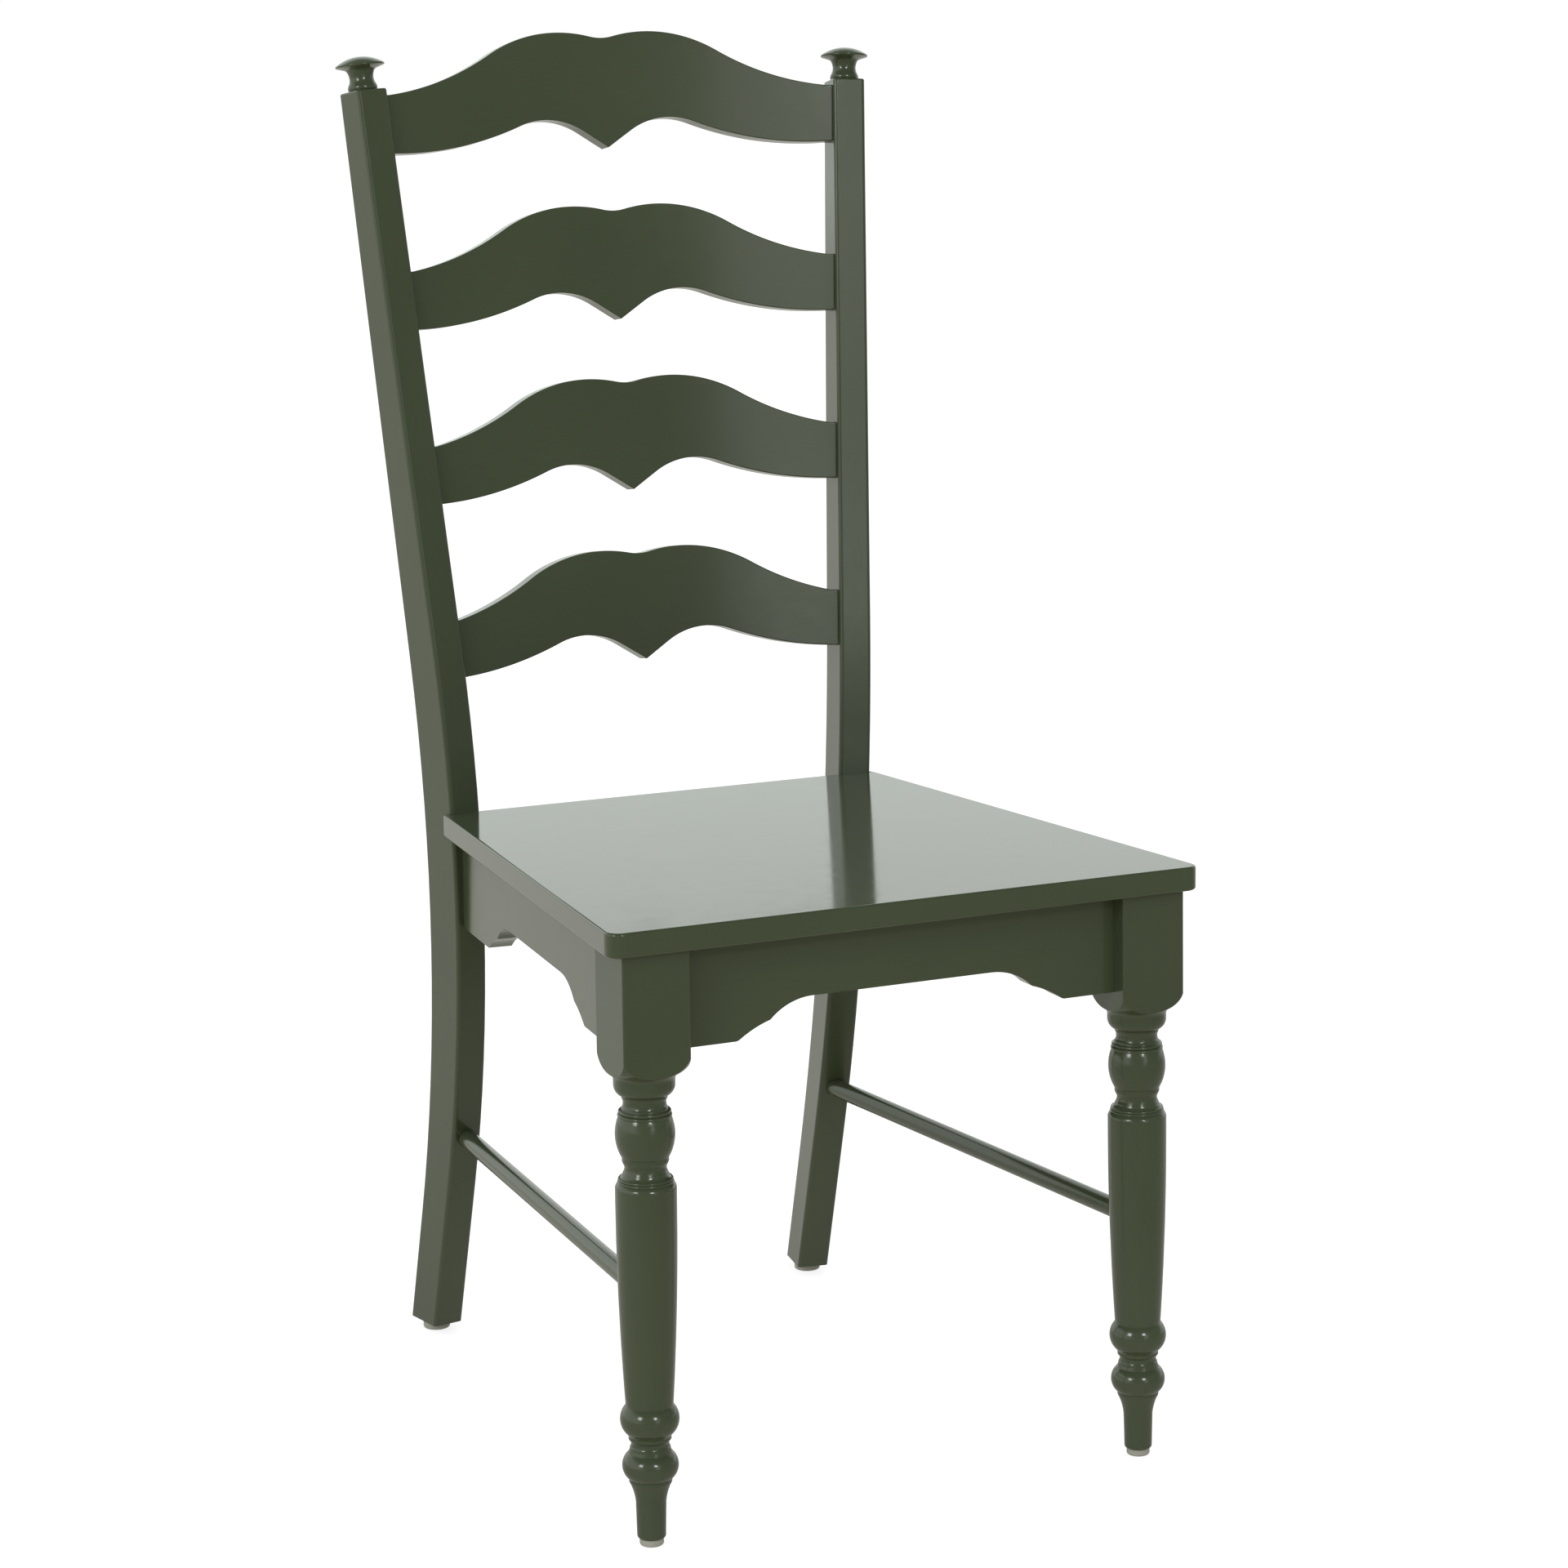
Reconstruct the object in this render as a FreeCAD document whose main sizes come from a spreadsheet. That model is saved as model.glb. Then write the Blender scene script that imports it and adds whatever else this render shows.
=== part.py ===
import FreeCAD
import Part
import Sketcher
import math
import os

from FreeCAD import Placement, Rotation, Vector

# Driving dimensions, in millimetres and degrees
SIZES = (
    # seat board
    ("seat_height", 457, "floor to the top of the seat"),
    ("seat_thickness", 18, "seat board"),
    ("seat_front_width", 470, "seat across the front"),
    ("seat_back_width", 378, "seat across the back"),
    ("seat_depth", 456, "seat from front to back"),
    ("seat_corner_radius", 11, "front corners of the seat in plan"),
    ("seat_rear_corner_radius", 3, "rear corners of the seat in plan"),
    ("seat_edge_radius", 2, "eased edges of the seat"),
    ("scribe_gap", 0.3, "seat to the back posts that it is scribed round"),
    # back posts, measured in the plane of each post's side face
    ("post_spacing", 304.8, "between the posts' datum lines at the floor"),
    ("post_front_offset", 4.5, "posts' datum lines ahead of the seat's back edge"),
    ("post_toe_in", 9.8, "posts turned about their own length"),
    ("post_splay", 2.3, "posts leaning outwards"),
    ("post_width", 26.5, "post section, side to side"),
    ("post_height", 1020.8, "post along its own upright, from the floor to its top"),
    ("post_foot_set_back", 91.8, "front of the leg behind the datum line, at the floor"),
    ("post_foot_depth", 40, "post section at the floor, front to back"),
    ("post_front_low_lean", 17.2, "rear leg's front face from the vertical"),
    ("post_front_high_lean", 7.96, "back's front face from the vertical"),
    ("post_front_radius", 1038, "bend of the front face"),
    ("post_front_bend_start", 136.9, "height where the front face starts to bend"),
    ("post_rear_low_lean", 16.9, "rear leg's rear face from the vertical"),
    ("post_rear_high_lean", 6.4, "back's rear face from the vertical"),
    ("post_rear_radius", 1171, "bend of the rear face"),
    ("post_rear_bend_start", 108.8, "height where the rear face starts to bend"),
    ("post_edge_radius", 3, "eased long edges of the posts"),
    ("post_top_radius", 1.5, "eased edges of the posts' top ends"),
    # back slats
    ("top_slat_drop", 25.4, "middle of the top slat's ends below the top of the post"),
    ("slat_pitch", 136.2, "from one slat down to the next"),
    ("slat_thickness", 16.5, "slat"),
    ("slat_end_turn", 12, "slat's bow: its ends turned from straight across"),
    ("slat_set_back", 5.4, "slats behind the front of the posts"),
    ("slat_end_height", 45.4, "slat at its ends"),
    ("slat_tenon_length", 7, "slat let into a post"),
    ("slat_fit_gap", 0.15, "all round a slat's end in its mortise"),
    ("slat_end_flat", 2, "parallel end of a slat before the post"),
    ("crest_rise", 48.4, "top slat's two crests above its ends"),
    ("crest_rise_step", 0.8, "crests lower on each slat further down"),
    ("crest_spread", 38, "crest from the middle of the slat"),
    ("crest_spread_step", 1.1, "crests closer on each slat further down"),
    ("crest_radius", 117, "crest"),
    ("crest_dip_radius", 40, "dip between the crests"),
    ("top_hollow_radius", 235, "hollow sweep from a crest to the end"),
    ("pendant_rise", 1.8, "middle point of the lower edge above its ends"),
    ("arch_rise", 24.6, "arches of the lower edge above its ends"),
    ("arch_spread", 53, "arch from the middle of the slat"),
    ("arch_radius", 60, "arch"),
    ("bottom_hollow_radius", 290, "hollow sweep from an arch to the end"),
    # rails
    ("rail_thickness", 18, "front, side and back rails"),
    ("rail_height", 74.5, "rail at its ends"),
    ("scallop_rise", 26.5, "lower edge's middle above its ends"),
    ("outer_scallop_run", 25.4, "outer hollow of the lower edge, along the rail"),
    ("outer_scallop_rise", 12.7, "outer hollow, upwards"),
    ("outer_scallop_radius", 84, "outer hollow"),
    ("inner_scallop_run", 33.3, "inner hollow of the lower edge, along the rail"),
    ("front_rail_set_back", 15.3, "front rail behind the front of the leg blocks"),
    ("front_rail_end_flat", 42, "front rail's full height next to a leg"),
    ("side_rail_inset", 14, "side rail inside the seat's side edge"),
    ("side_rail_rear_flat", 79, "side rail's full height next to a post"),
    ("side_rail_front_flat", 55, "side rail's full height next to a leg"),
    ("back_rail_edge_radius", 1.5, "eased lower edges of the back rail"),
    ("outer_cusp_radius", 6, "softened corner at the start of the scallop"),
    ("inner_cusp_radius", 1.5, "softened corner between the two hollows"),
    # front legs
    ("leg_block", 51, "square block of the leg"),
    ("leg_block_edge", 1.5, "eased corners of the block"),
    ("leg_side_overhang", 12.3, "block inside the seat's front corner width"),
    ("leg_front_overhang", 6.5, "block behind the seat's front edge"),
    ("leg_splay", 0.34, "front legs leaning outwards"),
    ("shoulder_height", 366, "where the block starts to round under"),
    ("shoulder_radius", 19, "round of the turned shoulder"),
    ("collar_height", 346, "top of the collar under the block"),
    ("collar_radius", 21.9, "collar"),
    ("upper_neck_height", 327.8, "neck under the collar"),
    ("neck_radius", 15, "necks above and below the bulb"),
    ("bulb_height", 304.5, "widest part of the bulb"),
    ("bulb_radius", 21.3, "bulb"),
    ("middle_neck_height", 280.2, "neck under the bulb"),
    ("column_top_height", 264.5, "top of the long column"),
    ("column_radius", 21.85, "column near its top"),
    ("column_foot_height", 106.5, "foot of the column"),
    ("column_foot_radius", 17.2, "column at its foot"),
    ("upper_ball_height", 94.6, "widest part of the upper ball"),
    ("upper_ball_radius", 21.4, "upper ball"),
    ("lower_neck_height", 76.2, "neck between the balls"),
    ("lower_neck_radius", 13.7, "neck between the balls"),
    ("lower_ball_height", 60, "widest part of the lower ball"),
    ("lower_ball_radius", 20.2, "lower ball"),
    ("ankle_height", 33, "ankle above the foot"),
    ("ankle_radius", 11.3, "ankle"),
    ("foot_radius", 10.4, "front foot"),
    ("foot_edge_radius", 2.5, "eased edge of the front foot"),
    ("foot_edge_cut", 0.5, "lowest part of that edge, cut off flat over the glide"),
    # side stretchers
    ("stretcher_diameter", 15, "side stretchers"),
    ("stretcher_front_height", 185.7, "stretcher at the front leg's middle line"),
    ("stretcher_rear_height", 181, "stretcher at the post's front face"),
    ("stretcher_depth", 22, "stretcher let into the post"),
    ("stretcher_reach", 6, "stretcher past the front leg's middle line"),
    ("stretcher_gap", 0.1, "round the stretcher in its holes"),
    # finials
    ("finial_height", 26.5, "finial above the post"),
    ("finial_cap_radius", 19.4, "finial's cap"),
    ("finial_crown", 5.8, "domed top of the finial's cap above its rim"),
    ("finial_neck_radius", 9.4, "finial's neck"),
    ("finial_base_radius", 11.6, "finial's base ring"),
    ("finial_tenon_radius", 4, "finial's tenon"),
    ("finial_tenon_length", 20, "finial's tenon"),
    # dowels
    ("dowel_diameter", 8, "rail dowels"),
    ("dowel_depth", 18, "dowel in each piece"),
    ("short_dowel_depth", 15, "back rail's dowel in a post"),
    ("dowel_gap", 0.1, "round a dowel"),
    ("dowel_end_gap", 1, "beyond the end of a dowel or tenon"),
    ("dowel_spacing", 28, "between a rail's two dowels"),
    ("back_dowel_spacing", 56, "between the back rail's two dowels"),
    # corner blocks and screws
    ("corner_block_side", 45, "corner block along each rail"),
    ("front_block_reach", 38, "front corner block along each rail past the leg"),
    ("corner_block_height", 45, "corner block, top to bottom"),
    ("corner_block_tip", 6, "blunted tips of a corner block"),
    ("corner_gap", 0.3, "front corner block to the leg"),
    ("screw_diameter", 4, "screws"),
    ("screw_head_diameter", 8, "screw heads"),
    ("screw_gap", 0.1, "round a screw"),
    ("screw_grip", 9, "block under a screw's head"),
    ("screw_bite", 13, "screw in the rail"),
    ("seat_screw_recess", 14, "seat screw's head inside the block"),
    ("seat_screw_bite", 12, "screw in the seat"),
    # glides
    ("front_glide_diameter", 17.4, "front glides"),
    ("front_glide_height", 5.5, "front glides"),
    ("rear_glide_diameter", 22, "rear glides"),
    ("rear_glide_height", 7.5, "rear glides"),
    ("glide_edge_radius", 1.7, "rounded lower edge of the glides"),
    ("nail_diameter", 2.4, "glide nails"),
    ("nail_length", 20, "glide nail in the wood"),
    ("nail_head_diameter", 5.4, "glide nails' heads"),
    ("nail_head_height", 1, "glide nails' heads"),
    ("nail_recess", 1, "nail head above the floor"),
    ("nail_gap", 0.05, "round a nail"),
)

doc = FreeCAD.newDocument("LadderbackChair")
sheet = doc.addObject("Spreadsheet::Sheet", "Sizes")
for row, (alias, number, note) in enumerate(SIZES, start=1):
    sheet.set("A%d" % row, note)
    sheet.set("B%d" % row, str(number))
    sheet.setAlias("B%d" % row, alias)
doc.recompute()


class Value:
    """A number together with the sheet formula that gives it."""

    def __init__(self, number, formula):
        self.number = number
        self.formula = formula

    def __add__(self, other):
        other = as_value(other)
        return Value(self.number + other.number, "(%s + %s)" % (self.formula, other.formula))

    def __sub__(self, other):
        other = as_value(other)
        return Value(self.number - other.number, "(%s - %s)" % (self.formula, other.formula))

    def __mul__(self, other):
        other = as_value(other)
        return Value(self.number * other.number, "(%s * %s)" % (self.formula, other.formula))

    def __truediv__(self, other):
        other = as_value(other)
        return Value(self.number / other.number, "(%s / %s)" % (self.formula, other.formula))

    def __neg__(self):
        return Value(-self.number, "(-1 * %s)" % self.formula)


def as_value(item):
    if isinstance(item, Value):
        return item
    return Value(float(item), "%.9f" % item)


def size(alias):
    return Value(float(sheet.get(alias)), "Sizes." + alias)


def amount(alias):
    return float(sheet.get(alias))


def sine(angle):
    return Value(math.sin(math.radians(angle.number)), "sin(%s)" % angle.formula)


def cosine(angle):
    return Value(math.cos(math.radians(angle.number)), "cos(%s)" % angle.formula)


def tangent(angle):
    return Value(math.tan(math.radians(angle.number)), "tan(%s)" % angle.formula)


# Drawing


def origin_plane(body, role):
    for feature in body.Origin.OriginFeatures:
        if feature.Role == role:
            return feature
    raise ValueError("no plane " + role)


def new_body(label):
    body = doc.addObject("PartDesign::Body", label)
    body.Label = label
    return body


def new_sketch(body, name, role, lift=0.0):
    sketch = body.newObject("Sketcher::SketchObject", name)
    sketch.AttachmentSupport = [(origin_plane(body, role), "")]
    sketch.MapMode = "FlatFace"
    sketch.AttachmentOffset = Placement(Vector(0, 0, lift), Rotation())
    return sketch


def hold(sketch, kind, piece, end, coordinate):
    """Hold one coordinate of a point at its value from the sketch's origin."""
    value = as_value(coordinate)
    if not isinstance(coordinate, Value) and value.number == 0:
        axis = -2 if kind == "DistanceX" else -1
        sketch.addConstraint(Sketcher.Constraint("PointOnObject", piece, end, axis))
        return
    if value.number < 0:
        value = -value
        index = sketch.addConstraint(
            Sketcher.Constraint(kind, piece, end, -1, 1, value.number))
    else:
        index = sketch.addConstraint(
            Sketcher.Constraint(kind, -1, 1, piece, end, value.number))
    if isinstance(coordinate, Value):
        sketch.setExpression("Constraints[%d]" % index, value.formula)


def arc_between(start, end, radius):
    """Arc from start to end that turns left for a positive radius."""
    chord = end - start
    half = chord.Length / 2
    side = Vector(-chord.y, chord.x, 0).normalize()
    reach = math.sqrt(max(radius * radius - half * half, 0.0))
    centre = (start + end) * 0.5 + side * math.copysign(reach, radius)
    circle = Part.Circle(centre, Vector(0, 0, 1), abs(radius))
    if radius > 0:
        return Part.ArcOfCircle(circle, circle.parameter(start), circle.parameter(end))
    return Part.ArcOfCircle(circle, circle.parameter(end), circle.parameter(start))


def draw(sketch, points):
    """Draw a closed outline and give the numbers of its pieces.

    A point is (across, up), reached by a line, or (across, up, radius),
    reached by an arc that turns left if the radius is positive. A fourth item,
    "tangent", leaves the point to the tangency of its two pieces."""
    flat = [Vector(as_value(point[0]).number, as_value(point[1]).number, 0) for point in points]
    pieces = []
    for index, point in enumerate(points):
        start = flat[index - 1]
        end = flat[index]
        if len(point) == 2 or point[2] is None:
            number = sketch.addGeometry(Part.LineSegment(start, end))
            pieces.append((number, 1, 2))
            continue
        radius = as_value(point[2])
        number = sketch.addGeometry(arc_between(start, end, radius.number))
        pieces.append((number, 1, 2) if radius.number > 0 else (number, 2, 1))
        if isinstance(point[2], Value):
            held = radius if radius.number > 0 else -radius
            place = sketch.addConstraint(Sketcher.Constraint("Radius", number, held.number))
            sketch.setExpression("Constraints[%d]" % place, held.formula)
    for index, point in enumerate(points):
        number, _, end = pieces[index]
        following, start, _ = pieces[(index + 1) % len(pieces)]
        if len(point) == 4:
            sketch.addConstraint(Sketcher.Constraint("Tangent", number, end, following, start))
        else:
            sketch.addConstraint(
                Sketcher.Constraint("Coincident", number, end, following, start))
            hold(sketch, "DistanceX", number, end, point[0])
            hold(sketch, "DistanceY", number, end, point[1])
    return [piece[0] for piece in pieces]


def pad(body, name, sketch, length, symmetric=False):
    feature = body.newObject("PartDesign::Pad", name)
    feature.Profile = sketch
    feature.setExpression("Length", as_value(length).formula)
    if symmetric:
        feature.SideType = "Symmetric"
    doc.recompute()
    return feature


def pocket(body, name, sketch, length, symmetric=False, reverse=False):
    before = body.Shape.Volume
    feature = body.newObject("PartDesign::Pocket", name)
    feature.Profile = sketch
    feature.setExpression("Length", as_value(length).formula)
    if symmetric:
        feature.SideType = "Symmetric"
    feature.Reversed = reverse
    doc.recompute()
    if not body.Shape.Volume < before:
        raise ValueError(name + " cuts nothing")
    return feature


def revolve(body, name, sketch):
    feature = body.newObject("PartDesign::Revolution", name)
    feature.Profile = sketch
    feature.ReferenceAxis = (sketch, ["V_Axis"])
    feature.Angle = 360
    doc.recompute()
    return feature


def soften(body, name, wanted, radius):
    """Round the edges of the body that the test picks."""
    base = body.Tip
    edges = ["Edge%d" % (index + 1) for index, edge in enumerate(base.Shape.Edges) if wanted(edge)]
    feature = body.newObject("PartDesign::Fillet", name)
    feature.Base = (base, edges)
    feature.setExpression("Radius", radius.formula)
    doc.recompute()
    return feature


# Solids that are cut away, and round rods

PIECES = {}


def keep(name, item):
    item.Label = name
    PIECES[name] = item


def facing(direction):
    return Rotation(Vector(0, 0, 1), direction)


def rod(name, start, direction, diameter, length):
    item = doc.addObject("Part::Cylinder", name)
    item.setExpression("Radius", as_value(diameter / 2).formula)
    item.setExpression("Height", as_value(length).formula)
    item.Placement = Placement(start, facing(direction))
    return item


def block(name, place, long, wide, tall):
    item = doc.addObject("Part::Box", name)
    item.setExpression("Length", as_value(long).formula)
    item.setExpression("Width", as_value(wide).formula)
    item.setExpression("Height", as_value(tall).formula)
    item.Placement = place
    return item


def group(name, items):
    item = doc.addObject("Part::Compound", name)
    item.Links = items
    return item


def cut(name, base, tools):
    item = doc.addObject("Part::Cut", name + "_cut")
    item.Base = base
    item.Tool = group(name + "_cutters", tools)
    return item


SIDES = (("left", -1), ("right", 1))
UP = Vector(0, 0, 1)
DOWN = Vector(0, 0, -1)
BEYOND = 60.0       # length of a cutter that only has to clear the wood

# The posts' frame of reference: one side face's plane, at the floor

seat_bottom = amount("seat_height") - amount("seat_thickness")


def post_curve(face):
    """Bend points and centre of a post's front or rear face, in its side plane."""
    low = size("post_%s_low_lean" % face)
    high = size("post_%s_high_lean" % face)
    radius = size("post_%s_radius" % face)
    bend_start = size("post_%s_bend_start" % face)
    foot_across = size("post_foot_set_back")
    if face == "rear":
        foot_across = foot_across + size("post_foot_depth")
    foot = (foot_across, 0)
    first = (foot_across - tangent(low) * bend_start, bend_start)
    centre = (first[0] + radius * cosine(low), first[1] + radius * sine(low))
    second = (centre[0] - radius * cosine(high), centre[1] + radius * sine(high))
    top = (second[0] + tangent(high) * (size("post_height") - second[1]), size("post_height"))
    return foot, first, second, top, centre, radius


def post_face(face, up):
    """Distance of a post's front or rear face behind the datum line at a height."""
    foot, first, second, top, centre, radius = post_curve(face)
    if up < first[1].number:
        start, end = foot, first
    elif up > second[1].number:
        start, end = second, top
    else:
        rise = up - centre[1].number
        return centre[0].number - math.sqrt(radius.number ** 2 - rise ** 2)
    low, high = as_value(start[1]).number, end[1].number
    share = (up - low) / (high - low)
    return start[0].number + share * (end[0].number - start[0].number)


def top_corners():
    """Front and rear corner of a post's top, which is cut square to its lean."""
    front_lean = size("post_front_high_lean")
    rear_lean = size("post_rear_high_lean")
    front = post_curve("front")[3]
    rear = post_curve("rear")[3]
    rise = (rear[0] - front[0]) / 2 * tangent((front_lean + rear_lean) / 2)
    return ((front[0] + rise * tangent(front_lean), front[1] + rise),
            (rear[0] - rise * tangent(rear_lean), rear[1] - rise))


def rear_reach():
    """How far the rear feet stand behind the seat's back edge."""
    toe = math.radians(amount("post_toe_in"))
    edge = amount("post_edge_radius")
    foot_rear = post_face("rear", amount("rear_glide_height"))
    return (-amount("post_front_offset") + (foot_rear - edge) * math.cos(toe)
            + (amount("post_width") / 2 - edge) * math.sin(toe) + edge)


SEAT_BACK_Y = (amount("seat_depth") - rear_reach()) / 2
SEAT_FRONT_Y = SEAT_BACK_Y - amount("seat_depth")


def post_place(side):
    turn = Rotation(UP, -side * amount("post_toe_in"))
    lean = Rotation(Vector(0, 1, 0), side * amount("post_splay"))
    start = Vector(side * amount("post_spacing") / 2,
                   SEAT_BACK_Y - amount("post_front_offset"), 0)
    return Placement(start, turn.multiply(lean))


def on_post(side, across, back, up):
    """A point of a post, outwards, backwards and upwards in its own frame."""
    return post_place(side).multVec(Vector(side * across, back, up))


def along_post(level):
    """Length along a post's own upright that reaches a level above the floor."""
    return level / math.cos(math.radians(amount("post_splay")))


# Front legs' frame: the leg's middle line, at the floor

def leg_place(side):
    across = amount("seat_front_width") / 2 - amount("leg_side_overhang") - amount("leg_block") / 2
    along = SEAT_FRONT_Y + amount("leg_front_overhang") + amount("leg_block") / 2
    splay = Rotation(Vector(0, 1, 0), -side * amount("leg_splay"))
    top = Vector(side * across, along, amount("seat_height"))
    start = top - splay.multVec(Vector(0, 0, amount("seat_height")))
    return Placement(start, splay)


# Places shared by several pieces

HALF_BLOCK = amount("leg_block") / 2
RAIL_LOW = seat_bottom - amount("rail_height")
RAIL_MIDDLE = seat_bottom - amount("rail_height") / 2
SIDE_TAPER = math.atan2((amount("seat_front_width") - amount("seat_back_width")) / 2,
                        amount("seat_depth"))
FRONT_RAIL_Y = SEAT_FRONT_Y + amount("leg_front_overhang") + amount("front_rail_set_back")


def rail_across(along, depth):
    """Half the width between the side rails at a place, depth inside their outer faces."""
    edge = amount("seat_back_width") / 2 + (SEAT_BACK_Y - along) * math.tan(SIDE_TAPER)
    return edge - (amount("side_rail_inset") + depth) / math.cos(SIDE_TAPER)


def rail_direction(side):
    """Forwards along a side rail."""
    return Vector(side * math.sin(SIDE_TAPER), -math.cos(SIDE_TAPER), 0)


def outwards(side):
    """Square to a side rail, away from the chair."""
    return Vector(side * math.cos(SIDE_TAPER), math.sin(SIDE_TAPER), 0)


def centred_block(name, place, start, long, wide, tall):
    """A block from start along the X of a place, centred on its Y and Z."""
    wide = as_value(wide)
    tall = as_value(tall)
    corner = Vector(start, -wide.number / 2, -tall.number / 2)
    return block(name, place.multiply(Placement(corner, Rotation())), long, wide, tall)


def levels(spacing):
    return [RAIL_MIDDLE + sign * amount(spacing) / 2 for sign in (-1, 1)]


WORKROOM = 1000.0   # box that is larger than the chair in plan


def floor_cutter(name, height):
    corner = Placement(Vector(-WORKROOM / 2, -WORKROOM / 2, -BEYOND), Rotation())
    return block(name, corner, WORKROOM, WORKROOM, size(height) + BEYOND)


# Dowels and screws, with the holes they need

dowels = []
block_screws = []
seat_screws = []
nails = []
holes = {}


def hole_in(piece, cutter):
    holes.setdefault(piece, []).append(cutter)


def dowel(name, point, into, first, first_depth, second):
    """A dowel across the joint at a point: into the first piece, back into the second."""
    first_depth = size(first_depth)
    second_depth = size("dowel_depth")
    wide = size("dowel_diameter") + size("dowel_gap") * 2
    spare = size("dowel_end_gap")
    start = point - into * second_depth.number
    dowels.append(rod(name, start, into, size("dowel_diameter"), first_depth + second_depth))
    hole_in(first, rod(name + "_ahead", point - into * BEYOND, into, wide,
                       first_depth + spare + BEYOND))
    hole_in(second, rod(name + "_behind", point + into * BEYOND, into * -1, wide,
                        second_depth + spare + BEYOND))


def screw(name, seat, into, pieces, bite, store):
    """A screw whose head's underside is at seat, and holes in the pieces it passes."""
    gripped, grip, held = pieces
    length = grip + size(bite)
    head = size("screw_head_diameter")
    gap = size("screw_gap") * 2
    rise = head / 2 - size("screw_diameter") / 2
    cone = doc.addObject("Part::Cone", name + "_head")
    cone.setExpression("Radius1", (head / 2).formula)
    cone.setExpression("Radius2", (size("screw_diameter") / 2).formula)
    cone.setExpression("Height", rise.formula)
    cone.Placement = Placement(seat - into * rise.number, facing(into))
    shank = rod(name + "_shank", seat - into * (rise.number / 2), into, size("screw_diameter"),
                length + rise / 2)
    joined = doc.addObject("Part::Fuse", name)
    joined.Base = cone
    joined.Tool = shank
    store.append(joined)
    pilot = size("screw_diameter") + gap
    hole_in(gripped, rod(name + "_pilot", seat - into * BEYOND, into, pilot,
                         length + BEYOND + size("dowel_end_gap")))
    hole_in(gripped, rod(name + "_counterbore", seat - into * BEYOND, into, head + gap, BEYOND))
    hole_in(held, rod(name + "_bite", seat, into, pilot, length + size("dowel_end_gap")))


# Back posts


def post_blank(name, side):
    body = new_body(name + "_blank")
    sketch = new_sketch(body, name + "_side_view", "YZ_Plane")
    foot, first, second, _, _, radius = post_curve("front")
    rear_foot, rear_first, rear_second, _, _, rear_radius = post_curve("rear")
    top, rear_top = top_corners()
    draw(sketch, [foot, first, second + (-radius,), top,
                  rear_top, rear_second, rear_first + (rear_radius,), rear_foot])
    pad(body, name + "_pad", sketch, size("post_width"), symmetric=True)
    soften(body, name + "_long_edges",
           lambda edge: edge.BoundBox.XLength < 0.01 and edge.BoundBox.ZLength > 20,
           size("post_edge_radius"))
    soften(body, name + "_top_edges",
           lambda edge: edge.BoundBox.ZMin > rear_top[1].number - 0.01,
           size("post_top_radius"))
    body.Placement = post_place(side)
    return body


blanks = {}
for side_name, side in SIDES:
    name = "back_post_" + side_name
    blanks[name] = post_blank(name, side)
    hole_in(name, floor_cutter(name + "_floor", "rear_glide_height"))

# Back slats


def hollow(centre, radius, point, hollow_radius):
    """Where an arc through a point, curved the other way, leaves a circle to the left."""
    chord = point - centre
    reach = radius + hollow_radius
    along = (chord.Length ** 2 + reach ** 2 - hollow_radius ** 2) / (2 * chord.Length)
    direction = chord.normalize()
    upward = Vector(-direction.y, direction.x, 0)
    other = centre + direction * along + upward * math.sqrt(reach ** 2 - along ** 2)
    return centre + (other - centre).normalize() * radius


def slat_outline(index, shoulder, end):
    """The slat as seen square to its face, from the pendant point round to the left."""
    bottom = -amount("slat_end_height") / 2
    top = -bottom
    arch_radius = amount("arch_radius")
    arch = Vector(amount("arch_spread"), bottom + amount("arch_rise") - arch_radius, 0)
    pendant = Vector(0, bottom + amount("pendant_rise"), 0)
    run = arch - pendant
    slope = math.atan2(run.y, run.x) + math.asin(arch_radius / run.Length)
    flank = math.sqrt(run.Length ** 2 - arch_radius ** 2)
    flank_end = pendant + Vector(math.cos(slope), math.sin(slope), 0) * flank
    arch_end = hollow(arch, arch_radius, Vector(shoulder, bottom, 0),
                      amount("bottom_hollow_radius"))
    crest_radius = amount("crest_radius")
    spread = amount("crest_spread") - index * amount("crest_spread_step")
    crest_top = top + amount("crest_rise") - index * amount("crest_rise_step")
    crest = Vector(spread, crest_top - crest_radius, 0)
    crest_end = hollow(crest, crest_radius, Vector(shoulder, top, 0),
                       amount("top_hollow_radius"))
    dip_reach = crest_radius + amount("crest_dip_radius")
    dip_side = math.asin(spread / dip_reach)
    dip_start = crest + Vector(-math.sin(dip_side), math.cos(dip_side), 0) * crest_radius
    right = [
        (flank_end.x, flank_end.y, None),
        (arch_end.x, arch_end.y, -size("arch_radius")),
        (shoulder, bottom, size("bottom_hollow_radius")),
        (end, bottom, None),
        (end, top, None),
        (shoulder, top, None),
        (crest_end.x, crest_end.y, -size("top_hollow_radius")),
        (dip_start.x, dip_start.y, size("crest_radius")),
    ]
    points = [(0, pendant.y, None)] + right
    bends = [point[2] for point in right[1:]] + [-size("crest_dip_radius")]
    for point, bend in zip(reversed(right), reversed(bends)):
        points.append((-point[0], point[1], bend))
    return points


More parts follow.
